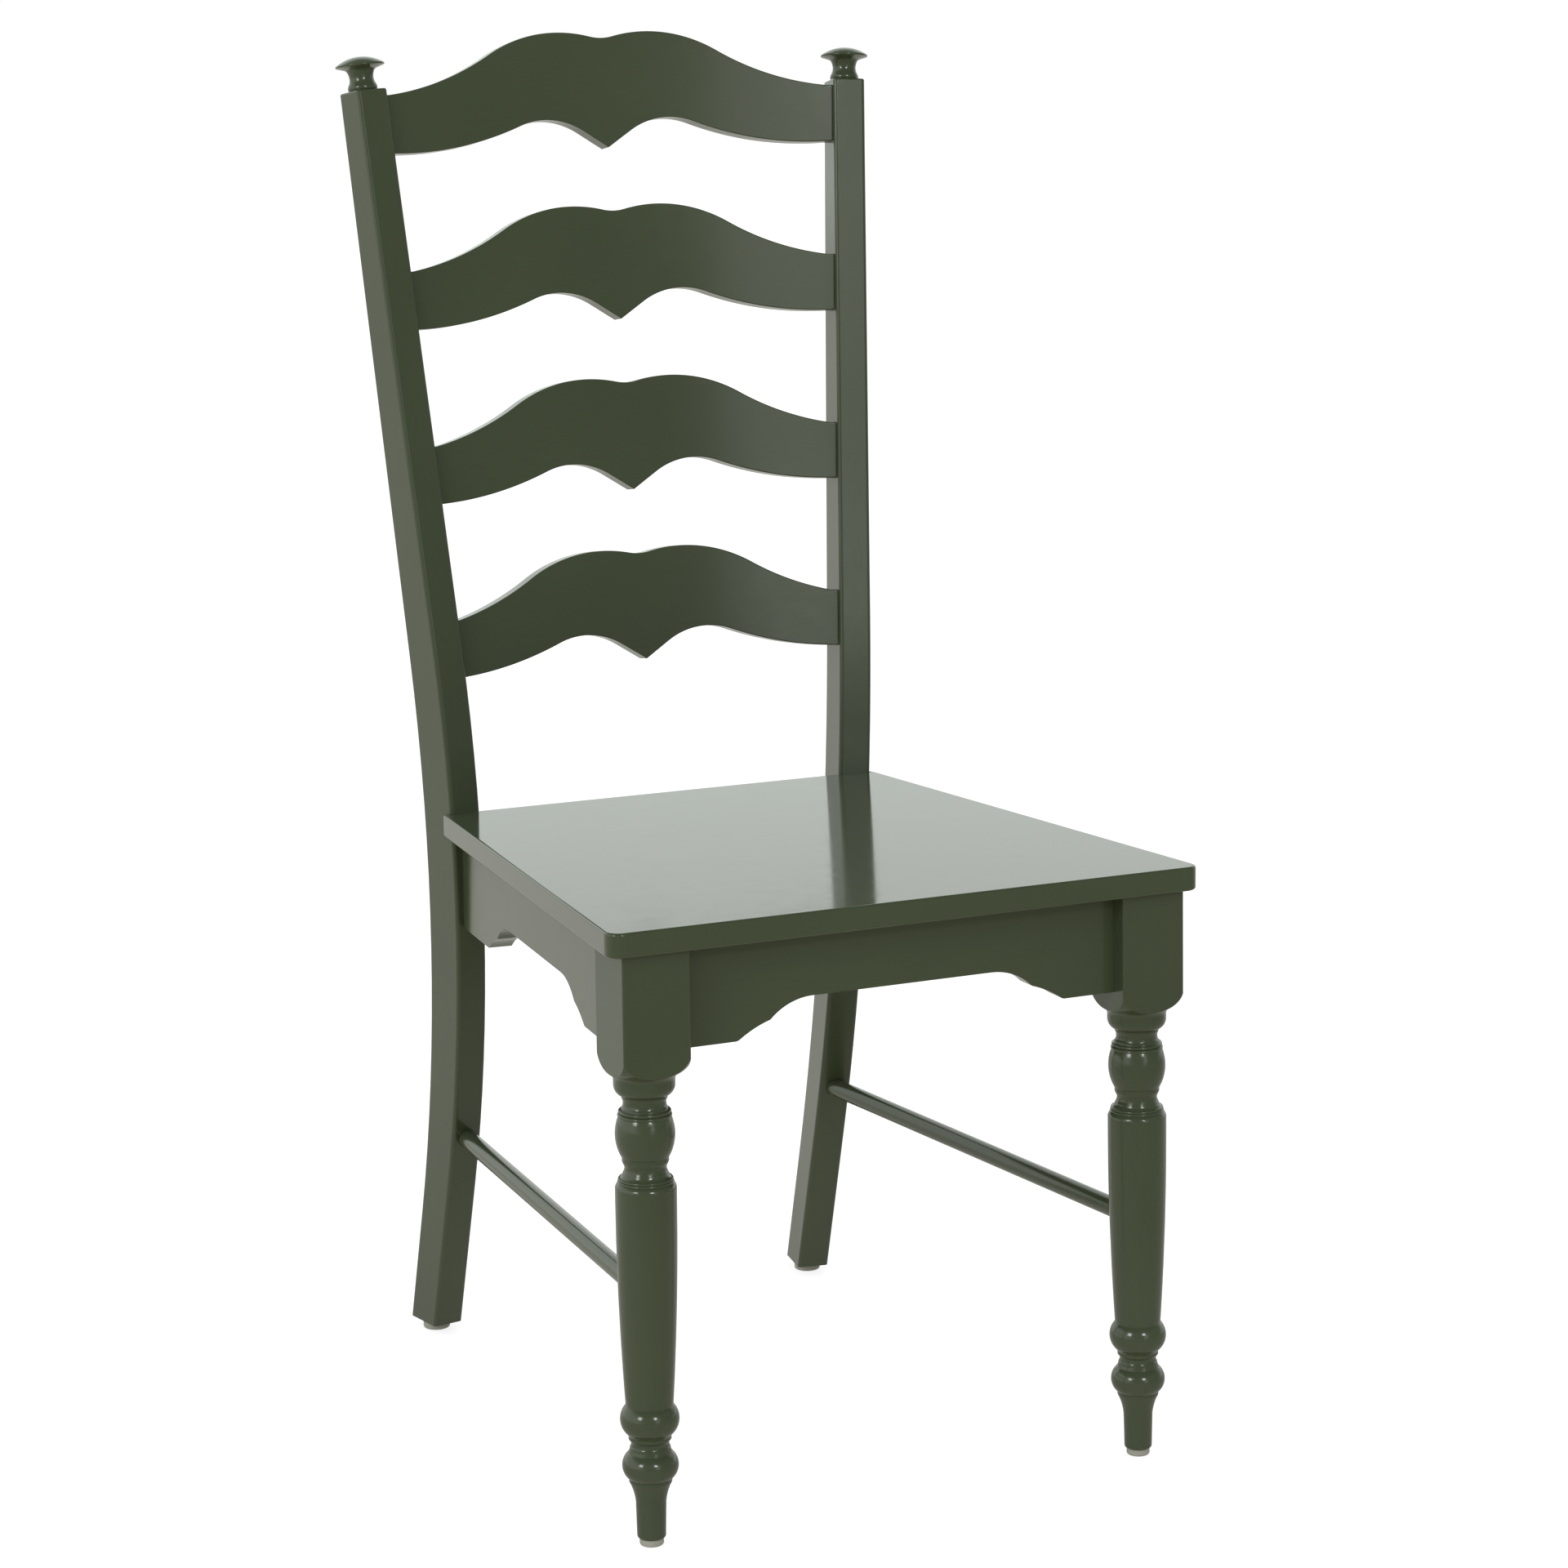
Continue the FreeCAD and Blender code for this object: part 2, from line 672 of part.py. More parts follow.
def slat(number):
    name = "slat_%d" % number
    index = number - 1
    top_level = on_post(1, 0, 0, amount("post_height") - amount("top_slat_drop")).z
    level = top_level - index * amount("slat_pitch")
    up = along_post(level)
    back = post_face("front", up) + amount("slat_set_back")
    spread = on_post(1, 0, back, up)
    inner = on_post(1, -amount("post_width") / 2, back, up).x
    shoulder = inner - amount("slat_end_flat")
    tenon_end = inner + amount("slat_tenon_length")
    turn = math.radians(amount("slat_end_turn"))
    radius = spread.x / math.sin(turn)
    centre = -radius * math.cos(turn)
    thickness = amount("slat_thickness")

    lean = post_place(1).Rotation.multVec(
        Vector(0, math.sin(math.radians(amount("post_front_high_lean"))),
               math.cos(math.radians(amount("post_front_high_lean")))))
    tilt = math.degrees(math.atan2(lean.y, lean.z))
    place = Placement(Vector(0, spread.y, level), Rotation(Vector(1, 0, 0), -tilt))

    body = new_body(name)
    plan = new_sketch(body, name + "_plan", "XY_Plane")
    sweep = math.asin(tenon_end / radius)
    outer = radius + thickness
    near = (radius * math.sin(sweep), centre + radius * math.cos(sweep))
    far = (outer * math.sin(sweep), centre + outer * math.cos(sweep))
    draw(plan, [(-near[0], near[1]), (near[0], near[1], -radius), far,
                (-far[0], far[1], outer)])
    pad(body, name + "_pad", plan, size("slat_end_height") * 5, symmetric=True)
    front = new_sketch(body, name + "_front_view", "XZ_Plane")
    rim = tenon_end + 20
    draw(front, [(-rim, -BEYOND * 3), (rim, -BEYOND * 3), (rim, BEYOND * 3), (-rim, BEYOND * 3)])
    draw(front, slat_outline(index, shoulder, far[0] + 5))
    pocket(body, name + "_shape", front, BEYOND * 6, symmetric=True)
    body.Placement = place
    keep(name, body)

    gap = size("slat_fit_gap") * 2
    middle = math.asin((inner + amount("slat_tenon_length") / 2) / radius)
    centre_line = radius + thickness / 2
    for side_name, side in SIDES:
        spot = Vector(side * centre_line * math.sin(middle),
                      centre + centre_line * math.cos(middle), 0)
        bearing = Rotation(UP, -math.degrees(middle) if side > 0 else 180 + math.degrees(middle))
        run = size("slat_tenon_length") * 1.5 + size("dowel_end_gap")
        hole_in("back_post_" + side_name, centred_block(
            "%s_mortise_%s" % (name, side_name), place.multiply(Placement(spot, bearing)),
            -amount("slat_tenon_length"), run,
            size("slat_thickness") + gap, size("slat_end_height") + gap))


for number in (1, 2, 3, 4):
    slat(number)

# Finials


def finial(name, side):
    body = new_body(name)
    sketch = new_sketch(body, name + "_profile", "XZ_Plane")
    tenon = size("finial_tenon_radius")
    base = size("finial_base_radius")
    neck = size("finial_neck_radius")
    cap = size("finial_cap_radius")
    top = size("finial_height")
    rim = cap - 0.8
    crown = size("finial_crown")
    crown_radius = (rim * rim + crown * crown) / (crown * 2)
    draw(sketch, [
        (0, -size("finial_tenon_length")),
        (tenon, -size("finial_tenon_length")),
        (tenon, 0),
        (base - 0.6, 0),
        (base - 0.6, 4.6, 4.5),
        (neck + 0.6, 6.6),
        (neck + 0.9, 14.2, -11),
        (neck + 3.4, 16.9, -4),
        (cap - 0.5, top - 7.6),
        (rim, top - crown, 1.1),
        (0, top, crown_radius),
    ])
    revolve(body, name + "_turned", sketch)
    front, rear = top_corners()
    drop = (front[1] - rear[1]).number
    lean = math.degrees(math.atan2(drop, (rear[0] - front[0]).number))
    place = post_place(side)
    top_centre = place.multVec(Vector(0, ((front[0] + rear[0]) / 2).number,
                                      ((front[1] + rear[1]) / 2).number))
    turn = place.Rotation.multiply(Rotation(Vector(1, 0, 0), -lean))
    body.Placement = Placement(top_centre, turn)
    keep(name, body)
    hole_in("back_post_" + name.split("_")[1],
            rod(name + "_hole", top_centre + turn.multVec(UP) * BEYOND,
                turn.multVec(DOWN), tenon * 2 + size("dowel_gap") * 2,
                size("finial_tenon_length") + size("dowel_end_gap") + BEYOND))


for side_name, side in SIDES:
    finial("finial_" + side_name, side)

# Front legs


def leg_profile():
    """Half of the turning, from the middle of the foot up to the top, out from the axis."""
    half_diagonal = size("leg_block") * math.sqrt(0.5)
    low = size("lower_ball_height")
    low_radius = size("lower_ball_radius")
    high = size("upper_ball_height")
    high_radius = size("upper_ball_radius")
    bulb = size("bulb_height")
    bulb_radius = size("bulb_radius")
    neck = size("lower_neck_height")
    neck_radius = size("lower_neck_radius")
    middle = size("middle_neck_height")
    upper = size("upper_neck_height")
    turned_neck = size("neck_radius")
    foot = size("foot_radius")
    edge = size("foot_edge_radius")
    sole = size("front_glide_height") - size("foot_edge_cut")
    ankle = size("ankle_radius")
    column = size("column_radius")
    column_top = size("column_top_height")
    column_foot = size("column_foot_radius")
    swell = column_top - 9.5 - size("column_foot_height")
    thinner = column - column_foot
    column_bend = (swell * swell + thinner * thinner) / (thinner * 2)
    collar = size("collar_radius")
    collar_top = size("collar_height")
    shoulder = size("shoulder_radius")
    return [
        (0, 0),
        (foot - edge, 0),
        (foot - edge, sole),
        (foot, sole + edge, edge),
        (ankle - 0.3, size("ankle_height")),
        (low_radius - 4.7, low - 12, -43),
        (low_radius - 4.7, low - 9.8),
        (low_radius - 4.7, low + 9.8, 12.4),
        (low_radius - 5.4, neck - 3.9),
        (neck_radius + 0.9, neck - 2.6),
        (neck_radius + 0.9, neck + 2.8, -4.5),
        (neck_radius + 1.7, neck + 3.6),
        (neck_radius + 1.7, neck + 6),
        (high_radius - 4.9, high - 10.8),
        (high_radius - 4.4, high + 10.3, 14.6),
        (column_foot, size("column_foot_height")),
        (column, column_top - 9.5, column_bend),
        (column, column_top - 0.5),
        (column - 2.1, column_top + 4.5, 5.5),
        (column - 2.6, column_top + 6.4, 1.1),
        (column - 3.6, column_top + 8.3, 1.1),
        (column - 5.6, middle - 4.2, -6),
        (turned_neck + 0.3, middle - 2.2),
        (turned_neck + 0.8, middle + 2.4, -5),
        (turned_neck + 1.7, middle + 4.4),
        (turned_neck + 1.7, middle + 7.4),
        (bulb_radius - 4, bulb - 16.2),
        (bulb_radius - 2.4, bulb + 12.4, 34),
        (bulb_radius - 3.2, bulb + 14.9, 1.4),
        (bulb_radius - 4.5, bulb + 17.4, 1.4),
        (turned_neck + 1.5, upper - 4.4),
        (turned_neck + 0.4, upper - 1.6, -5),
        (turned_neck + 1.4, upper + 3, -6),
        (turned_neck + 1.4, upper + 4.4),
        (turned_neck + 2.6, upper + 5),
        (collar, collar_top - 5.6, 8.5),
        (collar, collar_top - 1.8),
        (collar + 2.6, collar_top + 2.5, -6),
        (half_diagonal, size("shoulder_height"), shoulder),
        (half_diagonal + 3, size("shoulder_height")),
        (half_diagonal + 3, size("seat_height")),
        (0, size("seat_height")),
    ]


def front_leg(name, side):
    body = new_body(name + "_blank")
    sketch = new_sketch(body, name + "_profile", "XZ_Plane")
    draw(sketch, leg_profile())
    revolve(body, name + "_turned", sketch)
    square = new_sketch(body, name + "_square", "XY_Plane")
    square.setExpression("AttachmentOffset.Base.z", "Sizes.seat_height + 1")
    square.addGeometry(Part.Circle(Vector(0, 0, 0), UP, BEYOND))
    square.addConstraint(Sketcher.Constraint("Coincident", 0, 3, -1, 1))
    square.addConstraint(Sketcher.Constraint("Radius", 0, BEYOND))
    half = size("leg_block") / 2
    edge = size("leg_block_edge")
    inside = half - edge
    draw(square, [(-inside, -half), (inside, -half), (half, -inside, edge), (half, inside),
                  (inside, half, edge), (-inside, half), (-half, inside, edge),
                  (-half, -inside), (-inside, -half, edge)][1:])
    pocket(body, name + "_block", square, size("seat_height") + 1 - size("collar_height"))
    body.Placement = leg_place(side)
    blanks[name] = body
    hole_in(name, floor_cutter(name + "_floor", "front_glide_height"))
    top = Placement(Vector(-WORKROOM / 2, -WORKROOM / 2, seat_bottom), Rotation())
    hole_in(name, block(name + "_top", top, WORKROOM, WORKROOM, size("seat_height")))


for side_name, side in SIDES:
    front_leg("front_leg_" + side_name, side)

# Side stretchers

for side_name, side in SIDES:
    name = "side_stretcher_" + side_name
    rear_up = along_post(amount("stretcher_rear_height"))
    rear = on_post(side, 0, post_face("front", rear_up), rear_up)
    ahead = leg_place(side).multVec(Vector(0, 0, amount("stretcher_front_height")))
    direction = (ahead - rear).normalize()
    depth = amount("stretcher_depth")
    reach = amount("stretcher_reach")
    run = (ahead - rear).Length
    diameter = size("stretcher_diameter")
    wide = diameter + size("stretcher_gap") * 2
    spare = amount("dowel_end_gap")
    keep(name, rod(name, rear - direction * depth, direction, diameter, run + depth + reach))
    hole_in("back_post_" + side_name,
            rod(name + "_rear_hole", rear - direction * (depth + spare), direction, wide,
                depth + spare + BEYOND))
    hole_in("front_leg_" + side_name,
            rod(name + "_front_hole", ahead + direction * (reach + spare), direction * -1, wide,
                reach + spare + BEYOND))

# Rails


def rail_outline(length, first_flat, second_flat, spare):
    """A rail seen from outside; its lower edge steps up in two hollows from each end."""
    height = size("rail_height")
    rise = size("scallop_rise")
    run = size("outer_scallop_run")
    inner_run = size("inner_scallop_run")
    step = size("outer_scallop_rise")
    inner_rise = rise - step
    radius = size("outer_scallop_radius")
    inner_radius = (inner_run * inner_run + inner_rise * inner_rise) / (inner_rise * 2)
    far = as_value(length) - second_flat
    return [
        (-spare, 0),
        (first_flat, 0),
        (first_flat + run, step, -radius),
        (first_flat + run + inner_run, rise, -inner_radius),
        (far - run - inner_run, rise),
        (far - run, step, -inner_radius),
        (far, 0, -radius),
        (as_value(length) + spare, 0),
        (as_value(length) + spare, height),
        (-spare, height),
    ]


def scalloped_rail(name, length, first_flat, second_flat, place):
    body = new_body(name + "_blank")
    sketch = new_sketch(body, name + "_outline", "XZ_Plane")
    draw(sketch, rail_outline(length, size(first_flat), size(second_flat), 15))
    pad(body, name + "_pad", sketch, size("rail_thickness"), symmetric=True)
    outer_rise = amount("outer_scallop_rise")
    soften(body, name + "_outer_cusps",
           lambda edge: edge.BoundBox.YLength > 1 and edge.BoundBox.ZMax < 0.01
           and 0 < edge.BoundBox.XMin < length, size("outer_cusp_radius"))
    soften(body, name + "_inner_cusps",
           lambda edge: edge.BoundBox.YLength > 1 and edge.BoundBox.XLength < 0.01
           and abs(edge.BoundBox.ZMax - outer_rise) < 0.01, size("inner_cusp_radius"))
    body.Placement = place
    blanks[name] = body


def leg_cutter(name, side):
    """The leg's block with room beyond it, outwards and to the front."""
    wide = BEYOND + HALF_BLOCK
    corner = Vector(-HALF_BLOCK if side > 0 else -BEYOND, -BEYOND, 0)
    place = leg_place(side).multiply(Placement(corner, Rotation()))
    return block(name, place, wide, wide, size("seat_height"))


half_rail = amount("rail_thickness") / 2
leg_inner = leg_place(1).multVec(Vector(-HALF_BLOCK, HALF_BLOCK, RAIL_MIDDLE))
scalloped_rail("front_rail", leg_inner.x * 2, "front_rail_end_flat", "front_rail_end_flat",
               Placement(Vector(-leg_inner.x, FRONT_RAIL_Y + half_rail, RAIL_LOW), Rotation()))
for side_name, side in SIDES:
    hole_in("front_rail", leg_cutter("front_rail_end_" + side_name, side))
    for number, level in enumerate(levels("dowel_spacing")):
        dowel("front_rail_dowel_%s_%d" % (side_name, number),
              Vector(side * leg_inner.x, FRONT_RAIL_Y + half_rail, level),
              Vector(side, 0, 0), "front_leg_" + side_name, "dowel_depth", "front_rail")

middle_up = along_post(RAIL_MIDDLE)
post_middle = on_post(1, 0, post_face("front", middle_up), middle_up)
post_inner = on_post(1, -amount("post_width") / 2, post_face("front", middle_up), middle_up)
for side_name, side in SIDES:
    name = "side_rail_" + side_name
    forwards = rail_direction(side)
    rear = Vector(side * rail_across(post_middle.y, half_rail), post_middle.y, RAIL_LOW)
    length = (post_middle.y - leg_inner.y) / math.cos(SIDE_TAPER)
    place = Placement(rear, Rotation(UP, -90 + side * math.degrees(SIDE_TAPER)))
    scalloped_rail(name, length, "side_rail_rear_flat", "side_rail_front_flat", place)
    hole_in(name, leg_cutter(name + "_front_end", side))
    centre = post_curve("front")[4]
    across = post_place(side).Rotation.multVec(Vector(1, 0, 0))
    axis = on_post(side, 0, centre[0].number, centre[1].number) - across * BEYOND
    hole_in(name, rod(name + "_rear_end", axis, across, size("post_front_radius") * 2,
                      BEYOND * 2))
    for number, level in enumerate(levels("dowel_spacing")):
        up = along_post(level)
        joint = on_post(side, 0, post_face("front", up), up).y
        dowel("%s_rear_dowel_%d" % (name, number),
              Vector(side * rail_across(joint, half_rail), joint, level), forwards * -1,
              "back_post_" + side_name, "dowel_depth", name)
        dowel("%s_front_dowel_%d" % (name, number),
              Vector(side * rail_across(leg_inner.y, half_rail), leg_inner.y, level), forwards,
              "front_leg_" + side_name, "dowel_depth", name)

# Back rail, plain

BACK_RAIL_Y = post_inner.y
body = new_body("back_rail_blank")
sketch = new_sketch(body, "back_rail_outline", "XY_Plane")
rail_half = post_inner.x + 15
draw(sketch, [(-rail_half, 0), (rail_half, 0), (rail_half, size("rail_thickness")),
              (-rail_half, size("rail_thickness"))])
pad(body, "back_rail_pad", sketch, size("rail_height"))
soften(body, "back_rail_edges",
       lambda edge: edge.BoundBox.XLength > 100 and edge.BoundBox.ZMax < 1,
       size("back_rail_edge_radius"))
body.Placement = Placement(Vector(0, BACK_RAIL_Y, RAIL_LOW), Rotation())
blanks["back_rail"] = body
for side_name, side in SIDES:
    corner = Vector(-amount("post_width") / 2 if side > 0 else -BEYOND, -BEYOND, 0)
    hole_in("back_rail", block("back_rail_end_" + side_name,
                               post_place(side).multiply(Placement(corner, Rotation())),
                               size("post_width") / 2 + BEYOND, BEYOND * 3, size("seat_height")))
    for number, level in enumerate(levels("back_dowel_spacing")):
        up = along_post(level)
        joint = on_post(side, -amount("post_width") / 2, post_face("front", up), up)
        dowel("back_rail_dowel_%s_%d" % (side_name, number),
              Vector(joint.x, BACK_RAIL_Y + half_rail, level), Vector(side, 0, 0),
              "back_post_" + side_name, "short_dowel_depth", "back_rail")

# Corner blocks, each screwed to two rails and up into the seat

BLOCK_LOW = seat_bottom - amount("corner_block_height")
reach = amount("front_block_reach")
tip = amount("corner_block_tip")
gap = amount("corner_gap")
block_side = amount("corner_block_side")
grip = amount("screw_grip")


def corner_block(name, side, outline, rail, screw_spots, seat_spot):
    """A block of the given plan (outline for the right-hand side), with its screws."""
    body = new_body(name + "_blank")
    sketch = new_sketch(body, name + "_plan", "XY_Plane")
    points = [(side * point.x, point.y) for point in outline]
    draw(sketch, points if side > 0 else list(reversed(points)))
    pad(body, name + "_pad", sketch, size("corner_block_height"))
    body.Placement = Placement(Vector(0, 0, BLOCK_LOW), Rotation())
    blanks[name] = body
    rails = (rail, "side_rail_left" if side < 0 else "side_rail_right")
    shares = (1 / 3, 2 / 3)
    for number, (spot, into) in enumerate(screw_spots):
        level = BLOCK_LOW + shares[number] * amount("corner_block_height")
        direction = Vector(side * into.x, into.y, 0)
        point = Vector(side * spot.x, spot.y, level) - direction * grip
        screw("%s_screw_%d" % (name, number), point, direction,
              (name, size("screw_grip"), rails[number]), "screw_bite", block_screws)
    point = Vector(side * seat_spot.x, seat_spot.y, BLOCK_LOW + amount("seat_screw_recess"))
    screw(name + "_seat_screw", point, UP,
          (name, size("corner_block_height") - size("seat_screw_recess"), "seat_board"),
          "seat_screw_bite", seat_screws)


out = outwards(1)
ahead = rail_direction(1)
front_face = FRONT_RAIL_Y + amount("rail_thickness")
leg_x = leg_inner.x - gap
leg_y = leg_inner.y + gap
rail_spot = Vector(rail_across(leg_y, amount("rail_thickness")), leg_y, 0)
front_outline = [
    Vector(leg_x, front_face, 0),
    Vector(leg_x, leg_y, 0),
    rail_spot,
    rail_spot - ahead * reach,
    rail_spot - ahead * reach - out * tip,
    Vector(leg_x - reach, front_face + tip, 0),
    Vector(leg_x - reach, front_face, 0),
]
rear_corner = Vector(rail_across(BACK_RAIL_Y, amount("rail_thickness")), BACK_RAIL_Y, 0)
rear_outline = [
    rear_corner,
    rear_corner - Vector(block_side, 0, 0),
    rear_corner - Vector(block_side, tip, 0),
    rear_corner + ahead * block_side - out * tip,
    rear_corner + ahead * block_side,
]
for side_name, side in SIDES:
    corner_block("corner_block_front_" + side_name, side, front_outline, "front_rail",
                 ((Vector(leg_x - reach / 2, front_face, 0), Vector(0, -1, 0)),
                  (rail_spot - ahead * (reach / 2), out)),
                 Vector(leg_x - 6, leg_y + 8.5, 0))
    corner_block("corner_block_rear_" + side_name, side, rear_outline, "back_rail",
                 ((rear_corner - Vector(block_side * 0.58, 0, 0), Vector(0, 1, 0)),
                  (rear_corner + ahead * (block_side * 0.58), out)),
                 rear_corner + Vector(-block_side / 3, -block_side / 3, 0))

# Seat board

body = new_body("seat_board_blank")
sketch = new_sketch(body, "seat_board_plan", "XY_Plane")
front = SEAT_FRONT_Y
back = SEAT_BACK_Y


def seat_corner(half_width, along, radius, turn):
    """Where the rounding of a corner starts and ends: on the cross edge, on the side edge."""
    distance = radius * math.tan(turn / 2)
    run = Vector(math.sin(SIDE_TAPER), -math.cos(SIDE_TAPER), 0)
    sign = -1 if along == front else 1
    corner = Vector(half_width, along, 0)
    return corner - Vector(distance, 0, 0), corner + run * (distance * sign)


cross_front, side_front = seat_corner(amount("seat_front_width") / 2, front,
                                      amount("seat_corner_radius"), math.pi / 2 + SIDE_TAPER)
cross_rear, side_rear = seat_corner(amount("seat_back_width") / 2, back,
                                    amount("seat_rear_corner_radius"), math.pi / 2 - SIDE_TAPER)
draw(sketch, [
    (cross_front.x, cross_front.y),
    (side_front.x, side_front.y, size("seat_corner_radius")),
    (side_rear.x, side_rear.y),
    (cross_rear.x, cross_rear.y, size("seat_rear_corner_radius")),
    (-cross_rear.x, cross_rear.y),
    (-side_rear.x, side_rear.y, size("seat_rear_corner_radius")),
    (-side_front.x, side_front.y),
    (-cross_front.x, cross_front.y, size("seat_corner_radius")),
])
pad(body, "seat_board_pad", sketch, size("seat_thickness"))
soften(body, "seat_board_edges", lambda edge: edge.BoundBox.ZLength < 0.01,
       size("seat_edge_radius"))
body.Placement = Placement(Vector(0, 0, seat_bottom), Rotation())
blanks["seat_board"] = body
scribe = amount("scribe_gap")
closest = min(post_face("front", along_post(level))
              for level in (seat_bottom, (seat_bottom + amount("seat_height")) / 2,
                            amount("seat_height"))) - scribe
for side_name, side in SIDES:
    corner = Vector(-amount("post_width") / 2 - scribe, closest, seat_bottom - 20)
    hole_in("seat_board", block("seat_notch_" + side_name,
                                post_place(side).multiply(Placement(corner, Rotation())),
                                size("post_width") + size("scribe_gap") * 2, BEYOND,
                                size("seat_thickness") + 40))

# Glides and their nails


def glide(name, place, diameter, height, leg):
    body = new_body(name)
    sketch = new_sketch(body, name + "_profile", "XZ_Plane")
    radius = size(diameter) / 2
    edge = size("glide_edge_radius")
    shank = size("nail_diameter") / 2
    recess = size("nail_recess") + size("nail_head_height")
    head = size("nail_head_diameter") / 2
    loose = size("nail_gap")
    draw(sketch, [
        (head + loose, 0),
        (radius - edge, 0),
        (radius, edge, edge),
        (radius, size(height)),
        (shank + loose, size(height)),
        (shank + loose, recess),
        (head + loose, recess),
    ])
    revolve(body, name + "_turned", sketch)
    body.Placement = Placement(place, Rotation())
    keep(name, body)
    nail = new_body(name + "_nail")
    sketch = new_sketch(nail, name + "_nail_profile", "XZ_Plane")
    draw(sketch, [
        (0, size("nail_recess")),
        (head, size("nail_recess")),
        (head, recess),
        (shank, recess),
        (shank, size(height) + size("nail_length")),
        (0, size(height) + size("nail_length")),
    ])
    revolve(nail, name + "_nail_turned", sketch)
    nail.Placement = Placement(place, Rotation())
    nails.append(nail)
    hole_in(leg, rod(name + "_nail_hole", place, UP, size("nail_diameter") + loose * 2,
                     size(height) + size("nail_length") + size("dowel_end_gap")))


for side_name, side in SIDES:
    under = leg_place(side).multVec(Vector(0, 0, amount("front_glide_height")))
    glide("glide_front_" + side_name, Vector(under.x, under.y, 0), "front_glide_diameter",
          "front_glide_height", "front_leg_" + side_name)
    rear_up = along_post(amount("rear_glide_height"))
    foot = (post_face("front", rear_up) + post_face("rear", rear_up)) / 2
    under = on_post(side, 0, foot, rear_up)
    glide("glide_rear_" + side_name, Vector(under.x, under.y, 0), "rear_glide_diameter",
          "rear_glide_height", "back_post_" + side_name)

# Cut every hole and write the pieces

for name, blank in blanks.items():
    keep(name, cut(name, blank, holes[name]))
for name, items in (("rail_dowels", dowels), ("corner_block_screws", block_screws),
                    ("seat_screws", seat_screws), ("glide_nails", nails)):
    keep(name, group(name, items))
doc.recompute()

for item in doc.Objects:
    if "Invalid" in item.State or "Error" in item.State:
        raise ValueError("%s is not valid: %s" % (item.Name, item.State))
    if hasattr(item, "Shape") and (item.Shape.isNull() or not item.Shape.isValid()):
        raise ValueError("%s has no valid shape" % item.Name)

os.makedirs("parts", exist_ok=True)
for name, item in PIECES.items():
    item.Shape.exportStep("parts/%s.step" % name)
    print(name, len(item.Shape.Solids), round(item.Shape.Volume / 1000, 2))
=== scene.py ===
import math

import bmesh
import bpy
from bpy.props import FloatProperty, FloatVectorProperty, PointerProperty
from mathutils import Matrix, Vector


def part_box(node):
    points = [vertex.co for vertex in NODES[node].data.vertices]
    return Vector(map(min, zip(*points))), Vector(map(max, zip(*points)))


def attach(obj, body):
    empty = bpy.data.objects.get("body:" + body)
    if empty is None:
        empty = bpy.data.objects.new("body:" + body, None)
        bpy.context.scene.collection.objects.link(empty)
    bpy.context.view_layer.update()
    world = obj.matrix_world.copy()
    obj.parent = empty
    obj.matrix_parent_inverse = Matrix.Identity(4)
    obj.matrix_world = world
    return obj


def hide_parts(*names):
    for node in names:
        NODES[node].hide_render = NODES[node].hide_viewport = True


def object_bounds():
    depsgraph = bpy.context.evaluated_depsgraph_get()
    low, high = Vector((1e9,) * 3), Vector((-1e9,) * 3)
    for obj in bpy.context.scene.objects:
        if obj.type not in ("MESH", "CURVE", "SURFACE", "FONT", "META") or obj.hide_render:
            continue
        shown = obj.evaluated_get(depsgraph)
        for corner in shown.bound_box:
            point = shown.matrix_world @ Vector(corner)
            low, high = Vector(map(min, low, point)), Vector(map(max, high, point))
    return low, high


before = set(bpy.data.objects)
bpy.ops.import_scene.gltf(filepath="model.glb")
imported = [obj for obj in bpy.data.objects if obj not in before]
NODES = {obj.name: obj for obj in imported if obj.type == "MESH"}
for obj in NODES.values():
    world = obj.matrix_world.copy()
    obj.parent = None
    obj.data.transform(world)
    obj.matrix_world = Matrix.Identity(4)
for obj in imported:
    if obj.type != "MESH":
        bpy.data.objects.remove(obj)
CAD_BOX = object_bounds()
SEAT_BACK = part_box("seat_board")[1].y

bl_info = {
    "name": "Ladderback Chair",
    "version": (1, 0, 0),
    "blender": (4, 5, 0),
    "location": "3D View > Sidebar > Chair",
    "description": "Paints a ladderback chair and stands it on a white studio floor",
    "category": "Object",
}

CORNERS = ("front_left", "front_right", "rear_left", "rear_right")
SENSOR = 36.0
FRAME_PIXELS = 1920.0
FOCAL_PIXELS = 4857.384
WHITE = (1.0, 1.0, 1.0)
BLACK = (0.0, 0.0, 0.0)


# Settings


